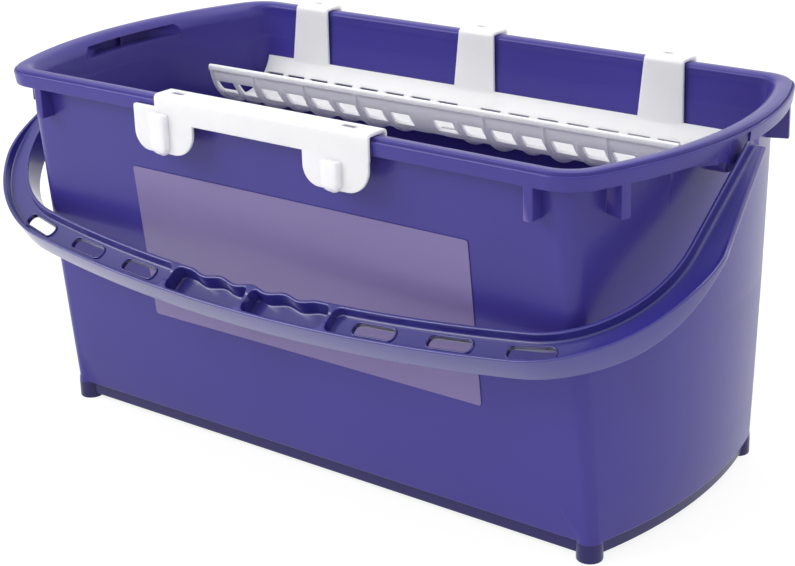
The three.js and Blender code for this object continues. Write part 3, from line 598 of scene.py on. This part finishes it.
def about_gutter(x, degrees, radius):
    """Points at places along X, and at angles and distances about the gutter's axis."""
    angle = np.radians(degrees)
    return spread(x, GUTTER_Y + radius * np.cos(angle), GUTTER_Z + radius * np.sin(angle))


def half_bays():
    """Edges of the half bays from the middle outwards."""
    regular = SIEVE_HALF * (0.0338 + 0.1245 * np.arange(7))
    return np.concatenate([regular, [(regular[-1] + SIEVE_HALF) / 2, SIEVE_HALF]])


def inside(values, spans):
    """Which values lie in one of the spans."""
    return np.any([(values > low) & (values < high) for low, high in spans], 0)


def gutter_shell():
    """The gutter: an arc carried along X, with windows left out of the grid.

    The shell is the closed boundary of the cells that stay: outer and inner skins over those cells,
    and walls where a cell meets a window or the edge.
    """
    edges = half_bays()
    middles = (edges[1:] + edges[:-1]) / 2
    places = np.concatenate([middles, -middles])
    starts, ends = places - WINDOW_HALF, places + WINDOW_HALF
    marks = [-SIEVE_HALF, SIEVE_RIGHT, -OPENING_HALF, OPENING_HALF]
    xs = np.unique(np.round(np.concatenate([marks, starts, ends]), 4))
    rows = [angle + np.degrees(half / GUTTER_RADIUS) * np.array([-1, 1]) for angle, half in WINDOW_ROWS]
    arc_steps = np.linspace(GUTTER_LIP, GUTTER_BACK, 61)
    turn = np.unique(np.round(np.concatenate([arc_steps, *rows, OPENING_SPAN]), 4))
    mid_x = (xs[1:] + xs[:-1]) / 2
    mid_turn = (turn[1:] + turn[:-1]) / 2
    keep = ~(inside(mid_x, zip(starts, ends))[:, None] & inside(mid_turn, rows))
    keep &= ~((np.abs(mid_x) < OPENING_HALF)[:, None] & inside(mid_turn, [OPENING_SPAN]))
    return cell_shell(xs, turn, keep, GUTTER_RADIUS - GUTTER_WALL, GUTTER_RADIUS)


def cell_shell(xs, turn, keep, inner, outer):
    """Closed faces round the kept cells of a curved wall: both skins, and a wall at each open edge."""
    columns, rows = len(xs), len(turn)
    vertices = np.stack([about_gutter(xs[:, None], turn, radius) for radius in (inner, outer)]).reshape(-1, 3)
    count = columns * rows
    index = np.arange(count).reshape(columns, rows)
    a, b, c, d = index[:-1, :-1], index[1:, :-1], index[1:, 1:], index[:-1, 1:]
    quads = [np.stack([a, d, c, b], -1)[keep], np.stack([a, b, c, d], -1)[keep] + count]
    padded = np.pad(keep, 1)
    for step_x, step_turn, p, q in ((-1, 0, d, a), (1, 0, b, c), (0, -1, a, b), (0, 1, c, d)):
        beside = padded[1 + step_x : columns + step_x, 1 + step_turn : rows + step_turn]
        first, second = p[keep & ~beside], q[keep & ~beside]
        quads.append(np.stack([first, second, second + count, first + count], -1))
    faces = np.concatenate(quads)
    used, renumbered = np.unique(faces, return_inverse=True)
    return vertices[used], [renumbered.reshape(faces.shape)]


def gutter_ribs():
    """Ribs round the outside: half an ellipse as section, carried along an arc about the gutter.

    The rise grows from the lip to the bottom, and the lesser ribs start further down.
    """
    edges = half_bays()
    end_rib = SIEVE_HALF - 1.4
    greater = (np.append(edges[2:-1:2], end_rib), 3.0, 2.6, GUTTER_LIP + 0.5, 0.45)
    lesser = (edges[1::2], 1.9, 1.8, 203.0, 0.12)
    around = np.linspace(0, np.pi, 9)
    count = 32
    shells = []
    for places, rise, thick, first, least in (greater, lesser):
        turn = np.linspace(first, 325, count)
        bulge = spread(thick / 2 * np.cos(around), rise * np.sin(around) ** 0.8)
        across, out = np.concatenate([bulge, [[-thick / 2, -0.9], [thick / 2, -0.9]]]).T
        ends = np.minimum(eased(turn, first - 4.0, 232.0), eased(np.arange(count)[::-1], -1, 3))
        fade = least + (1 - least) * ends
        radius = GUTTER_RADIUS + out * np.where(out > 0, fade[:, None], 1)
        for place in np.concatenate([-places, places + RIGHT_MORE * (places == end_rib)]):
            shells.append(grid_mesh(about_gutter(place + across, turn[:, None], radius)))
    return shells


def lip_shell():
    """The gutter's front lip: a rounded band carried along X, which rises a little to the right."""
    _, y, z = about_gutter(0.0, GUTTER_LIP, GUTTER_RADIUS)
    section = rounded_box(y - 1.2, z - 2.1, y + GUTTER_WALL, z + 2.1, [0.5, 0.4, 1.0, 1.1], steps=4)
    x = np.linspace(-SIEVE_HALF, SIEVE_RIGHT, 40)[:, None]
    return grid_mesh(spread(x, section[:, 0], section[:, 1] + 0.45 * x / SIEVE_HALF))


def strip(path, low_x, high_x, thickness, edge=0.7):
    """A strip of even thickness that follows a path of (y, z), with its own edges along X at each point.

    The section is a rounded rectangle across the path, square to it at every station.
    """
    along = np.gradient(path, axis=0)
    along /= np.linalg.norm(along, axis=1, keepdims=True)
    normal = spread(-along[:, 1], along[:, 0])
    half = thickness / 2
    a, b = rounded_box(0, -half, 4 * edge, half, [edge] * 4, steps=4).T
    from_right = a > 2 * edge
    a = np.where(from_right, a - 4 * edge, a)
    x = np.where(from_right, high_x[:, None], low_x[:, None]) + a
    return grid_mesh(spread(x, path[:, :1] + normal[:, :1] * b, path[:, 1:] + normal[:, 1:] * b))


def dense(path, step):
    """A polyline with points no further apart than a step, its own points kept."""
    counts = np.maximum(1, np.ceil(np.linalg.norm(np.diff(path, axis=0), axis=1) / step).astype(int))
    pieces = [
        start + (end - start) * np.linspace(0, 1, count, endpoint=False)[:, None]
        for start, end, count in zip(path, path[1:], counts)]
    return np.concatenate([*pieces, path[-1:]])


def strap_shells():
    """Three straps: each a strip up the wall, over the rim and down outside the skirt.

    Its half width shrinks evenly up to the hook, and the hook's end is rounded.
    """
    foot, tip = GUTTER_LEVEL - 3.0, HEIGHT - 14.0
    over, leg = SEAT + STRAP_THICK / 2, RIM[1] + 0.4 + STRAP_THICK / 2
    back_top = STRAP_BACK + STRAP_LEAN * GUTTER_DROP - 1.3
    corners = [[STRAP_BACK - 1.3 - STRAP_LEAN * 3.0, foot], [back_top, over], [leg, over], [leg, tip]]
    path = dense(rounded_path(corners, [0, 2.0, 2.2, 0], steps=8), 2.0)
    rise = np.clip((path[:, 1] - foot) / (SEAT + 2.4 - foot), 0, 1)
    beyond = path[:, 0] > back_top + 2
    half = np.where(beyond, HOOK_HALF, 17.0 + (HOOK_HALF - 17.0) * rise)
    near_tip = np.clip((tip + 3.0 - path[:, 1]) / 3.0, 0, 1) * beyond
    half = half - (1 - np.sqrt(1 - np.clip(near_tip, 0, 0.98) ** 2)) * 2.0
    return [strip(path, place - half, place + half, STRAP_THICK) for place in STRAP_PLACES]


def window_plugs(places, half_x, low_y, high_y):
    """Plugs for the small windows in what lies over the rim, each with a wider recess on the rim's side."""
    return [
        slab(
            lambda d: rounded_box(place - half_x, low_y, place + half_x, high_y, [0.5] * 4, 3, grow),
            level, SEAT - 1, top)
        for place in places for grow, top in ((0.0, SEAT + 4), (1.3, SEAT + 1.4))]


# The tool holder

PLATE = RIM[1] + 0.3
BAR_BACK = RIM[1] - 12.3 - 0.4
PLATE_THICK = 2.4
TONGUE_HALF = 24.45
TONGUE_FOOT = HEIGHT - 34.0
TONGUES = ((-74.2, HEIGHT - 5.4), (61.8, HEIGHT - 12.6))
RIB_HALF = 6.6
RIB_ROUND = 6.4


def on_front(points):
    """Points whose plan stands along the front, with their heights towards -Y."""
    return spread(points[..., 0], -points[..., 2], points[..., 1])


def holder_shells():
    """The holder's bar over the front rim, its two tongues with rounded feet, and a low rib down each.

    A rib's section is half of a squarish oval: cosine and sine raised to a power below one.
    """
    front, back = -(PLATE + PLATE_THICK / 2), -(BAR_BACK - PLATE_THICK / 2)
    over = SEAT + PLATE_THICK / 2
    corners = [[back, HEIGHT - 8.0], [back, over], [front, over], [front, HEIGHT - 13.6]]
    path = dense(rounded_path(corners, [0, 2.2, 2.2, 0], steps=8), 1.5)
    shells = [strip(path, np.full(len(path), -80.4), np.full(len(path), 86.6), PLATE_THICK, edge=0.6)]
    square = 0.42
    turn = np.linspace(0, np.pi, 41)
    oval_x, oval_out = np.sign(np.cos(turn)) * np.abs(np.cos(turn)) ** square, np.sin(turn) ** square
    for place, top in TONGUES:
        def outline(d):
            radii = np.maximum(np.array([12.0, 16.0, 1.6, 1.6]) - d, 0.1)
            return rounded_box(place - TONGUE_HALF, TONGUE_FOOT, place + TONGUE_HALF, top, radii, 12, -d)

        shells.append(slab(outline, on_front, PLATE, PLATE + PLATE_THICK, 0.6, steps=4))
        foot = TONGUE_FOOT - 1.4 + RIB_ROUND
        below = foot - (RIB_ROUND - 0.01) * np.cos(np.linspace(0, np.pi / 2, 18))
        z = np.concatenate([below, np.linspace(foot, top - 3.4, 10)[1:]])[:, None]
        share = np.sqrt(RIB_ROUND**2 - np.clip(foot - z, 0, None) ** 2) / RIB_ROUND
        out = 5.8 * np.maximum(share, 0.3) * oval_out - 1.2
        x = place - 1.5 + RIB_HALF * share * oval_x
        shells.append(grid_mesh(on_front(spread(x, z, PLATE + PLATE_THICK + out))))
    return shells


# The label film

LABEL_HALF = 131.4
LABEL_HEIGHT = 104.6
LABEL_MIDDLE = 11.1
LABEL_FOOT = 85.0


def label_shell():
    """The film: a thin rounded rectangle laid on the sloping front wall."""
    slope = np.arctan((WALL_TOP[1] - WALL_FOOT[1]) / (FLANGE - FOOT_LEVEL))

    def outline(d):
        return rounded_box(-LABEL_HALF, 0, LABEL_HALF, LABEL_HEIGHT, [2.0] * 4, 5, -d)

    def on_wall(p):
        x, along, out = np.moveaxis(p, -1, 0)
        y = -wall_at(LABEL_FOOT)[1] - along * np.sin(slope) - out * np.cos(slope)
        return spread(x + LABEL_MIDDLE, y, LABEL_FOOT + along * np.cos(slope) - out * np.sin(slope))

    return slab(outline, on_wall, 0.25, 0.6, 0.1, steps=2)


# Shader expressions


class Wire:
    """A shader socket in a Python expression: each operator on it adds one Math node."""

    def __init__(self, shader, socket):
        self.shader = shader
        self.socket = socket

    def math(self, operation, *values):
        return self.shader.node("ShaderNodeMath", {"operation": operation}, dict(enumerate(values)))["Value"]

    def __add__(self, other):
        return self.math("ADD", self, other)

    def __sub__(self, other):
        return self.math("SUBTRACT", self, other)

    def __mul__(self, other):
        return self.math("MULTIPLY", self, other)

    def __radd__(self, other):
        return self.math("ADD", other, self)

    def __rsub__(self, other):
        return self.math("SUBTRACT", other, self)

    def __rmul__(self, other):
        return self.math("MULTIPLY", other, self)

    def between(self, low, high):
        """0 below low, 1 above high, and a smooth step between."""
        settings = {"interpolation_type": "SMOOTHSTEP"}
        return self.shader.node("ShaderNodeMapRange", settings, {0: self, 1: low, 2: high})[0]


class Outputs:
    """A node's outputs as wires, by name or number."""

    def __init__(self, shader, node):
        self.shader = shader
        self.node = node

    def __getitem__(self, key):
        return Wire(self.shader, self.node.outputs[key])


class Nodes:
    """The nodes of a material or of the world, with one method that adds any node."""

    def __init__(self, owner, output):
        self.owner = owner
        owner.use_nodes = True
        self.tree = owner.node_tree
        self.tree.nodes.clear()
        self.out = self.tree.nodes.new(output)

    def node(self, kind, settings, inputs):
        """Adds a node: its settings first, then the values or links of its sockets."""
        made = self.tree.nodes.new(kind)
        for key, value in settings.items():
            setattr(made, key, value)
        for key, value in inputs.items():
            if isinstance(value, Wire):
                self.tree.links.new(value.socket, made.inputs[key])
            else:
                made.inputs[key].default_value = value
        return Outputs(self, made)

    def surface(self, shaded):
        """Wires a shader to the output."""
        self.tree.links.new(shaded.socket, self.out.inputs["Surface"])
        return self.owner


class Shader(Nodes):
    """A material under construction, with its place in the object."""

    def __init__(self, name):
        super().__init__(bpy.data.materials.new(name), "ShaderNodeOutputMaterial")
        self.place = self.node("ShaderNodeTexCoord", {}, {})["Object"]

    def noise(self, scale, detail=2.0, roughness=0.5, vector=None):
        inputs = {"Vector": vector or self.place, "Scale": scale, "Detail": detail, "Roughness": roughness}
        return self.node("ShaderNodeTexNoise", {}, inputs)["Fac"]

    def stretched(self, scale):
        """The place with each axis scaled, for streaks that run along one of them."""
        return self.node("ShaderNodeMapping", {}, {"Vector": self.place, "Scale": scale})["Vector"]

    def mix(self, share, first, second):
        """A colour that goes from the first to the second by a share."""
        return self.node("ShaderNodeMix", {"data_type": "RGBA"}, {0: share, 6: first, 7: second})[2]

    def bump(self, height, strength, distance, normal=None):
        inputs = {"Height": height, "Strength": strength, "Distance": distance}
        if normal is not None:
            inputs["Normal"] = normal
        return self.node("ShaderNodeBump", {}, inputs)["Normal"]

    def principled(self, inputs):
        """A Principled surface wired to the output."""
        return self.surface(self.node("ShaderNodeBsdfPrincipled", {}, inputs)["BSDF"])


WHITE = (1.0, 1.0, 1.0, 1.0)
# Paler lavender for the painted highlight on edges that stick out.
PAINTED_EDGE_HIGHLIGHT = (0.36, 0.30, 0.62, 1.0)
PLASTIC_IOR = 1.49
FILM_IOR = 1.46


def shade(colour, factor):
    """A colour with red, green and blue multiplied and alpha kept."""
    return (*[min(1.0, channel * factor) for channel in colour[:3]], 1.0)


def blue_plastic(name, colour, roughness, shine, coat, painted_shade_below=0.0):
    """Glossy moulded plastic: slow tone drift, faint flow streaks, fine grain, wipe marks and scuffs.

    Edges that stick out are painted paler, as a painted highlight. Below a height the plastic is painted
    darker, as a painted shade round the base.
    """
    s = Shader(name)
    drift = s.noise(7.0, 3.0)
    flow = s.noise(1.0, 4.0, 0.6, s.stretched((26.0, 26.0, 3.0)))
    speck = s.noise(900.0, 2.0)
    tone = s.mix(drift.between(0.3, 0.7), shade(colour, 0.93), shade(colour, 1.07))
    tone = s.mix(flow.between(0.45, 0.75) * 0.25, tone, shade(colour, 1.1))
    tone = s.mix(speck.between(0.62, 0.75) * 0.12, tone, shade(colour, 1.5))
    wipe = s.noise(1.0, 3.0, 0.55, s.stretched((5.0, 5.0, 60.0)))
    scuff = s.noise(1.0, 5.0, 0.7, s.stretched((220.0, 220.0, 9.0))).between(0.66, 0.74)
    # Painted highlight: edges that stick out are painted paler, standing in for light caught on their rounds.
    edge = s.node("ShaderNodeNewGeometry", {}, {})["Pointiness"].between(0.53, 0.62)
    tone = s.mix(edge * 0.34, tone, PAINTED_EDGE_HIGHLIGHT)
    rough = roughness + (drift - 0.5) * 0.06 + wipe.between(0.4, 0.7) * 0.006 + scuff * 0.01
    wave = s.bump(s.noise(9.0, 1.0, 0.4), 0.12, 0.0012)
    grain = s.bump(s.noise(1500.0, 1.0), 0.05, 0.0001, wave)
    # Painted shade: below a height the tone is painted much darker, standing in for the shade round the inset
    # base.
    if painted_shade_below:
        height = s.node("ShaderNodeSeparateXYZ", {}, {"Vector": s.place})["Z"]
        above = height.between(painted_shade_below - 0.0008, painted_shade_below)
        tone = s.mix(0.62 * (1.0 - above), tone, shade(colour, 0.1))
    return s.principled({
        "Base Color": tone, "Roughness": rough, "Normal": grain, "IOR": PLASTIC_IOR,
        "Specular IOR Level": shine, "Coat Weight": coat, "Coat Roughness": 0.12,
    })


def white_plastic(name, colour, roughness, depth):
    """White moulded plastic: slightly milky, with faint clouding, grain and light scuffs."""
    s = Shader(name)
    cloud = s.noise(30.0, 3.0)
    tone = s.mix(cloud.between(0.35, 0.75), colour, shade(colour, 0.965))
    speck = s.noise(700.0, 2.0).between(0.64, 0.78)
    tone = s.mix(speck * 0.08, tone, shade(colour, 0.8))
    scuff = s.noise(1.0, 4.0, 0.7, s.stretched((20.0, 260.0, 260.0))).between(0.66, 0.76)
    rough = roughness + (cloud - 0.5) * 0.1 + scuff * 0.12
    grain = s.bump(s.noise(1300.0, 1.0), 0.06, 0.0001, s.bump(s.noise(40.0, 1.0), 0.12, 0.0004))
    return s.principled({
        "Base Color": tone, "Roughness": rough, "Normal": grain, "IOR": PLASTIC_IOR,
        "Subsurface Weight": 0.8, "Subsurface Radius": (1.0, 0.95, 1.05), "Subsurface Scale": depth,
    })


def label_film(name, colour, roughness):
    """Bare film: an even tint with a slow drift, a fine print grain, and slight ripples from sticking on."""
    s = Shader(name)
    drift = s.noise(5.0, 2.0)
    tone = s.mix(drift.between(0.3, 0.7), shade(colour, 0.94), shade(colour, 1.06))
    fibre = s.noise(1200.0, 2.0).between(0.55, 0.8)
    tone = s.mix(fibre * 0.08, tone, shade(colour, 1.25))
    rough = roughness + (s.noise(22.0, 2.0) - 0.5) * 0.1
    ripple = s.bump(s.noise(24.0, 2.0), 0.18, 0.0008)
    grain = s.bump(s.noise(2000.0, 1.0), 0.06, 0.0001, ripple)
    return s.principled({"Base Color": tone, "Roughness": rough, "Normal": grain, "IOR": FILM_IOR})


def studio_surface(name, colour, glow, keep_shadow):
    """A pale floor or wall that the camera and reflections see as nearly white, with a soft shadow."""
    s = Shader(name)
    tone = s.mix(s.noise(3.0, 3.0).between(0.3, 0.7), colour, shade(colour, 0.99))
    lit = s.node("ShaderNodeBsdfDiffuse", {}, {"Color": tone, "Roughness": 0.6})["BSDF"]
    glowing = s.node("ShaderNodeEmission", {}, {"Color": WHITE, "Strength": glow})["Emission"]
    path = s.node("ShaderNodeLightPath", {}, {})
    seen = path["Is Camera Ray"].math("MAXIMUM", path["Is Camera Ray"], path["Is Transmission Ray"])
    seen = seen.math("MAXIMUM", seen, path["Is Glossy Ray"])
    share = seen * (1.0 - keep_shadow)
    return s.surface(s.node("ShaderNodeMixShader", {}, {0: share, 1: lit, 2: glowing})["Shader"])


# Settings

COLOUR = {"min": 0.0, "max": 1.0, "subtype": "COLOR"}
SHARE = {"min": 0.0, "max": 1.0, "subtype": "FACTOR"}
POWER = {"min": 0.0, "unit": "POWER"}
PLACE = {"unit": "LENGTH", "subtype": "TRANSLATION"}
ANGLE = {"min": -1.5, "max": 1.5, "unit": "ROTATION", "subtype": "ANGLE"}
LENS = {"min": 20.0, "max": 300.0, "subtype": "DISTANCE_CAMERA"}


def setting(name, description, default, kind):
    """A number that a user may change, or with several defaults a colour or a place."""
    words = {"name": name, "description": description, "default": default}
    if isinstance(default, tuple):
        return bpy.props.FloatVectorProperty(**words, **kind, size=len(default))
    return bpy.props.FloatProperty(**words, **kind)


class BucketFinish(bpy.types.PropertyGroup):
    blue: setting("Blue plastic", "Colour of the tub", (0.050, 0.038, 0.262, 1.0), COLOUR)
    handle_blue: setting("Handle plastic", "Colour of the handle", (0.031, 0.025, 0.225, 1.0), COLOUR)
    white: setting("White plastic", "Colour of the tool holder", (0.87, 0.86, 0.89, 1.0), COLOUR)
    sieve_white: setting("Sieve plastic", "Colour of the sieve", (0.95, 0.93, 0.97, 1.0), COLOUR)
    film: setting("Label film", "Colour of the bare label", (0.20, 0.155, 0.355, 1.0), COLOUR)
    blue_roughness: setting("Blue roughness", "Roughness of the blue plastic", 0.29, SHARE)
    white_roughness: setting("White roughness", "Roughness of the white plastic", 0.36, SHARE)
    film_roughness: setting("Film roughness", "Roughness of the label", 0.34, SHARE)


class BucketHandle(bpy.types.PropertyGroup):
    fold: setting("Fold", "How far the folded handle hangs below level", float(np.radians(34.4)), ANGLE)


class BucketStudio(bpy.types.PropertyGroup):
    floor: setting("Floor", "Colour of the floor and the backdrop", (0.9, 0.9, 0.9, 1.0), COLOUR)
    key: setting("Key light", "Power of the large softbox over the front", 21.0, POWER)
    side: setting("Side light", "Power of the tall softbox on the right", 1.8, POWER)
    ambient: setting("Ambient", "Strength of the even light from all round", 0.75, SHARE)
    camera_place: setting(
        "Camera place", "The camera's place about the tub's middle", (0.72919, -0.90462, 0.53125), PLACE)
    camera_aim: setting(
        "Camera aim", "The point looked at, about the tub's middle", (0.0016, -0.0001, 0.0999), PLACE)
    camera_roll: setting(
        "Camera roll", "Turn of the camera about its own axis", float(np.radians(-1.729)), ANGLE)
    focal_length: setting("Focal length", "Focal length on a 36 mm wide sensor, in millimetres", 85.47, LENS)


# Operators


def finish_piece(piece, material, body, slot, *nodes):
    """Gives a piece its material and its body, and hides the CAD nodes that it stands for. The slot is not
    used.
    """
    piece.data.materials.clear()
    piece.data.materials.append(material)
    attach(piece, body)
    if nodes:
        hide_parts(*nodes)


class BUCKET_OT_tub(bpy.types.Operator):
    """Builds the tub with its feet, stacking ribs and pivot housings"""

    bl_idname = "bucket.tub"
    bl_label = "Tub"

    def execute(self, context):
        finish = context.scene.bucket_finish
        material = blue_plastic(
            "tub_plastic", tuple(finish.blue), finish.blue_roughness, 0.32, 0.06, FOOT_LEVEL * MM)
        piece = build_piece("tub", [tub_shell()])
        trim = build_piece("tub_trim", [*foot_shells(), *rib_shells(), *housing_shells()])
        cut(trim, [trim_shell()])
        combine(piece, trim, "UNION")
        cut(piece, pivot_cuts())
        finish_piece(piece, material, "tub", "tub_plastic", "bucket_tub")
        return {"FINISHED"}


class BUCKET_OT_handle(bpy.types.Operator):
    """Builds the channel handle with its slots, rims and pivot pegs"""

    bl_idname = "bucket.handle"
    bl_label = "Handle"

    def execute(self, context):
        finish = context.scene.bucket_finish
        material = blue_plastic("handle_plastic", tuple(finish.handle_blue), finish.blue_roughness, 0.5, 0.7)
        piece = build_piece("handle", [handle_shell()])
        cut(piece, slot_shells(0, -3.0, HALF_DEPTH))
        finish_piece(piece, material, "handle", "handle_plastic", "carry_handle")
        rims = slot_shells(1.1, CHANNEL_FLOOR - 2.3, CHANNEL_FLOOR + 1.0)
        trim = build_piece("handle_trim", [*rims, *peg_shells()])
        finish_piece(trim, material, "handle", "handle_plastic")
        return {"FINISHED"}


class BUCKET_OT_sieve(bpy.types.Operator):
    """Builds the gutter sieve with its ribs, lip and hooked straps"""

    bl_idname = "bucket.sieve"
    bl_label = "Sieve"

    def execute(self, context):
        finish = context.scene.bucket_finish
        material = white_plastic("sieve_plastic", tuple(finish.sieve_white), finish.white_roughness, 0.006)
        aside = [SIEVE_OFFSET, 0, 0]
        shells = [gutter_shell(), *gutter_ribs(), lip_shell(), *strap_shells()]
        piece = build_piece("sieve", [moved(shell, aside) for shell in shells])
        windows = window_plugs(np.array(STRAP_PLACES) - 4.0, 3.0, RIM[1] - 3.2, RIM[1] - 0.4)
        cut(piece, [moved(shell, aside) for shell in windows])
        finish_piece(piece, material, "sieve", "sieve_plastic", "sieve_tray")
        return {"FINISHED"}


class BUCKET_OT_holder(bpy.types.Operator):
    """Builds the tool holder that hangs over the front rim"""

    bl_idname = "bucket.holder"
    bl_label = "Tool holder"

    def execute(self, context):
        finish = context.scene.bucket_finish
        material = white_plastic("holder_plastic", tuple(finish.white), finish.white_roughness, 0.004)
        piece = build_piece("holder", holder_shells())
        middle = -(PLATE + BAR_BACK) / 2
        cut(piece, window_plugs((-67.6, 66.6), 5.0, middle - 2, middle + 2))
        finish_piece(piece, material, "holder", "holder_plastic", "tool_holder")
        return {"FINISHED"}


class BUCKET_OT_label(bpy.types.Operator):
    """Builds the bare label film on the front wall"""

    bl_idname = "bucket.label"
    bl_label = "Label"

    def execute(self, context):
        finish = context.scene.bucket_finish
        material = label_film("label_film", tuple(finish.film), finish.film_roughness)
        piece = build_piece("label", [label_shell()])
        finish_piece(piece, material, "tub", "label_film", "front_label")
        return {"FINISHED"}


def look_at(place, aim, roll=0.0):
    """The matrix of something at a place whose -Z points at an aim, turned about that axis by a roll."""
    place = np.array(place, float)
    back = place - aim
    back /= np.linalg.norm(back)
    right = np.cross([0.0, 0.0, 1.0], back)
    right /= np.linalg.norm(right)
    up = np.cross(back, right)
    across = right * np.cos(roll) + up * np.sin(roll)
    over = up * np.cos(roll) - right * np.sin(roll)
    matrix = np.eye(4)
    matrix[:3] = np.stack([across, over, back, place], 1)
    return Matrix(matrix.tolist())


def area_light(name, place, aim_height, size, power):
    """A rectangular softbox that faces a point over the middle of the object."""
    lamp = bpy.data.lights.new(name, "AREA")
    lamp.shape = "RECTANGLE"
    lamp.size, lamp.size_y = size
    lamp.energy = power
    made = bpy.data.objects.new(name, lamp)
    bpy.context.scene.collection.objects.link(made)
    made.matrix_world = look_at(place, [0.0, 0.0, aim_height])


def backdrop_shell():
    """The floor and the wall behind: a strip along X that lies flat and then curves up.

    Its path is a straight floor, a quarter circle and a straight wall, with a thin back.
    """
    bend = arc(2.2, 1.0, 1.0, -90, 0, 24)
    path = np.concatenate([[[-3.0, 0.0]], bend, [[3.2, 3.4]]])
    under = path[::-1] + [0.0, -0.02]
    under[:, 0] += np.where(under[:, 1] > 0.5, 0.02, 0.0)
    section = np.concatenate([path, under])
    x = np.linspace(-3.5, 3.5, 8)
    return grid_mesh(spread(x[:, None], *section.T))


class BUCKET_OT_studio(bpy.types.Operator):
    """Builds the floor, the lights and the camera"""

    bl_idname = "bucket.studio"
    bl_label = "Studio"

    def execute(self, context):
        studio = context.scene.bucket_studio
        floor = build_object("studio_floor", [backdrop_shell()])
        floor.data.materials.append(studio_surface("studio_floor", tuple(studio.floor), 1.15, 0.27))
        area_light("key_softbox", (-1.15, -1.35, 1.35), 0.12, (1.6, 1.1), studio.key)
        area_light("side_softbox", (1.2, 1.1, 0.95), 0.12, (1.0, 1.3), studio.side)
        area_light("top_softbox", (0.1, 0.5, 1.9), 0.15, (1.8, 1.0), studio.key * 0.55)
        air = Nodes(bpy.data.worlds.new("studio_air"), "ShaderNodeOutputWorld")
        from_camera = air.node("ShaderNodeLightPath", {}, {})["Is Camera Ray"]
        around, seen = (
            air.node("ShaderNodeBackground", {}, {"Color": WHITE, "Strength": strength})["Background"]
            for strength in (studio.ambient, 1.0))
        mixed = air.node("ShaderNodeMixShader", {}, {0: from_camera, 1: around, 2: seen})["Shader"]
        context.scene.world = air.surface(mixed)
        lens = bpy.data.cameras.new("camera")
        lens.sensor_fit = "HORIZONTAL"
        lens.sensor_width = 36.0
        lens.lens = studio.focal_length
        lens.clip_start = 0.01
        camera = bpy.data.objects.new("camera", lens)
        context.scene.collection.objects.link(camera)
        camera.matrix_world = look_at(
            MIDDLE + studio.camera_place, MIDDLE + studio.camera_aim, studio.camera_roll)
        context.scene.camera = camera
        context.scene.view_settings.view_transform = "Standard"
        return {"FINISHED"}


class BUCKET_PT_panel(bpy.types.Panel):
    """Settings and build steps of the bucket"""

    bl_idname = "BUCKET_PT_panel"
    bl_label = "Window cleaning bucket"
    bl_space_type = "VIEW_3D"
    bl_region_type = "UI"
    bl_category = "Bucket"

    def draw(self, context):
        layout = self.layout
        for name in GROUPS:
            group = getattr(context.scene, name)
            box = layout.box()
            for key in group.__annotations__:
                box.prop(group, key)
        for operator in OPERATORS:
            layout.operator(operator.bl_idname)


GROUPS = {"bucket_finish": BucketFinish, "bucket_handle": BucketHandle, "bucket_studio": BucketStudio}
OPERATORS = (
    BUCKET_OT_tub, BUCKET_OT_handle, BUCKET_OT_sieve, BUCKET_OT_holder, BUCKET_OT_label, BUCKET_OT_studio)
CLASSES = (*GROUPS.values(), *OPERATORS, BUCKET_PT_panel)


def register():
    for cls in CLASSES:
        bpy.utils.register_class(cls)
    for name, group in GROUPS.items():
        setattr(bpy.types.Scene, name, bpy.props.PointerProperty(type=group))


def unregister():
    for name in GROUPS:
        delattr(bpy.types.Scene, name)
    for cls in CLASSES[::-1]:
        bpy.utils.unregister_class(cls)


def main():
    """Registers the add-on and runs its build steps."""
    register()
    bpy.ops.bucket.studio()
    bpy.ops.bucket.tub()
    bpy.ops.bucket.handle()
    bpy.ops.bucket.sieve()
    bpy.ops.bucket.holder()
    bpy.ops.bucket.label()


if __name__ == "__main__":
    main()
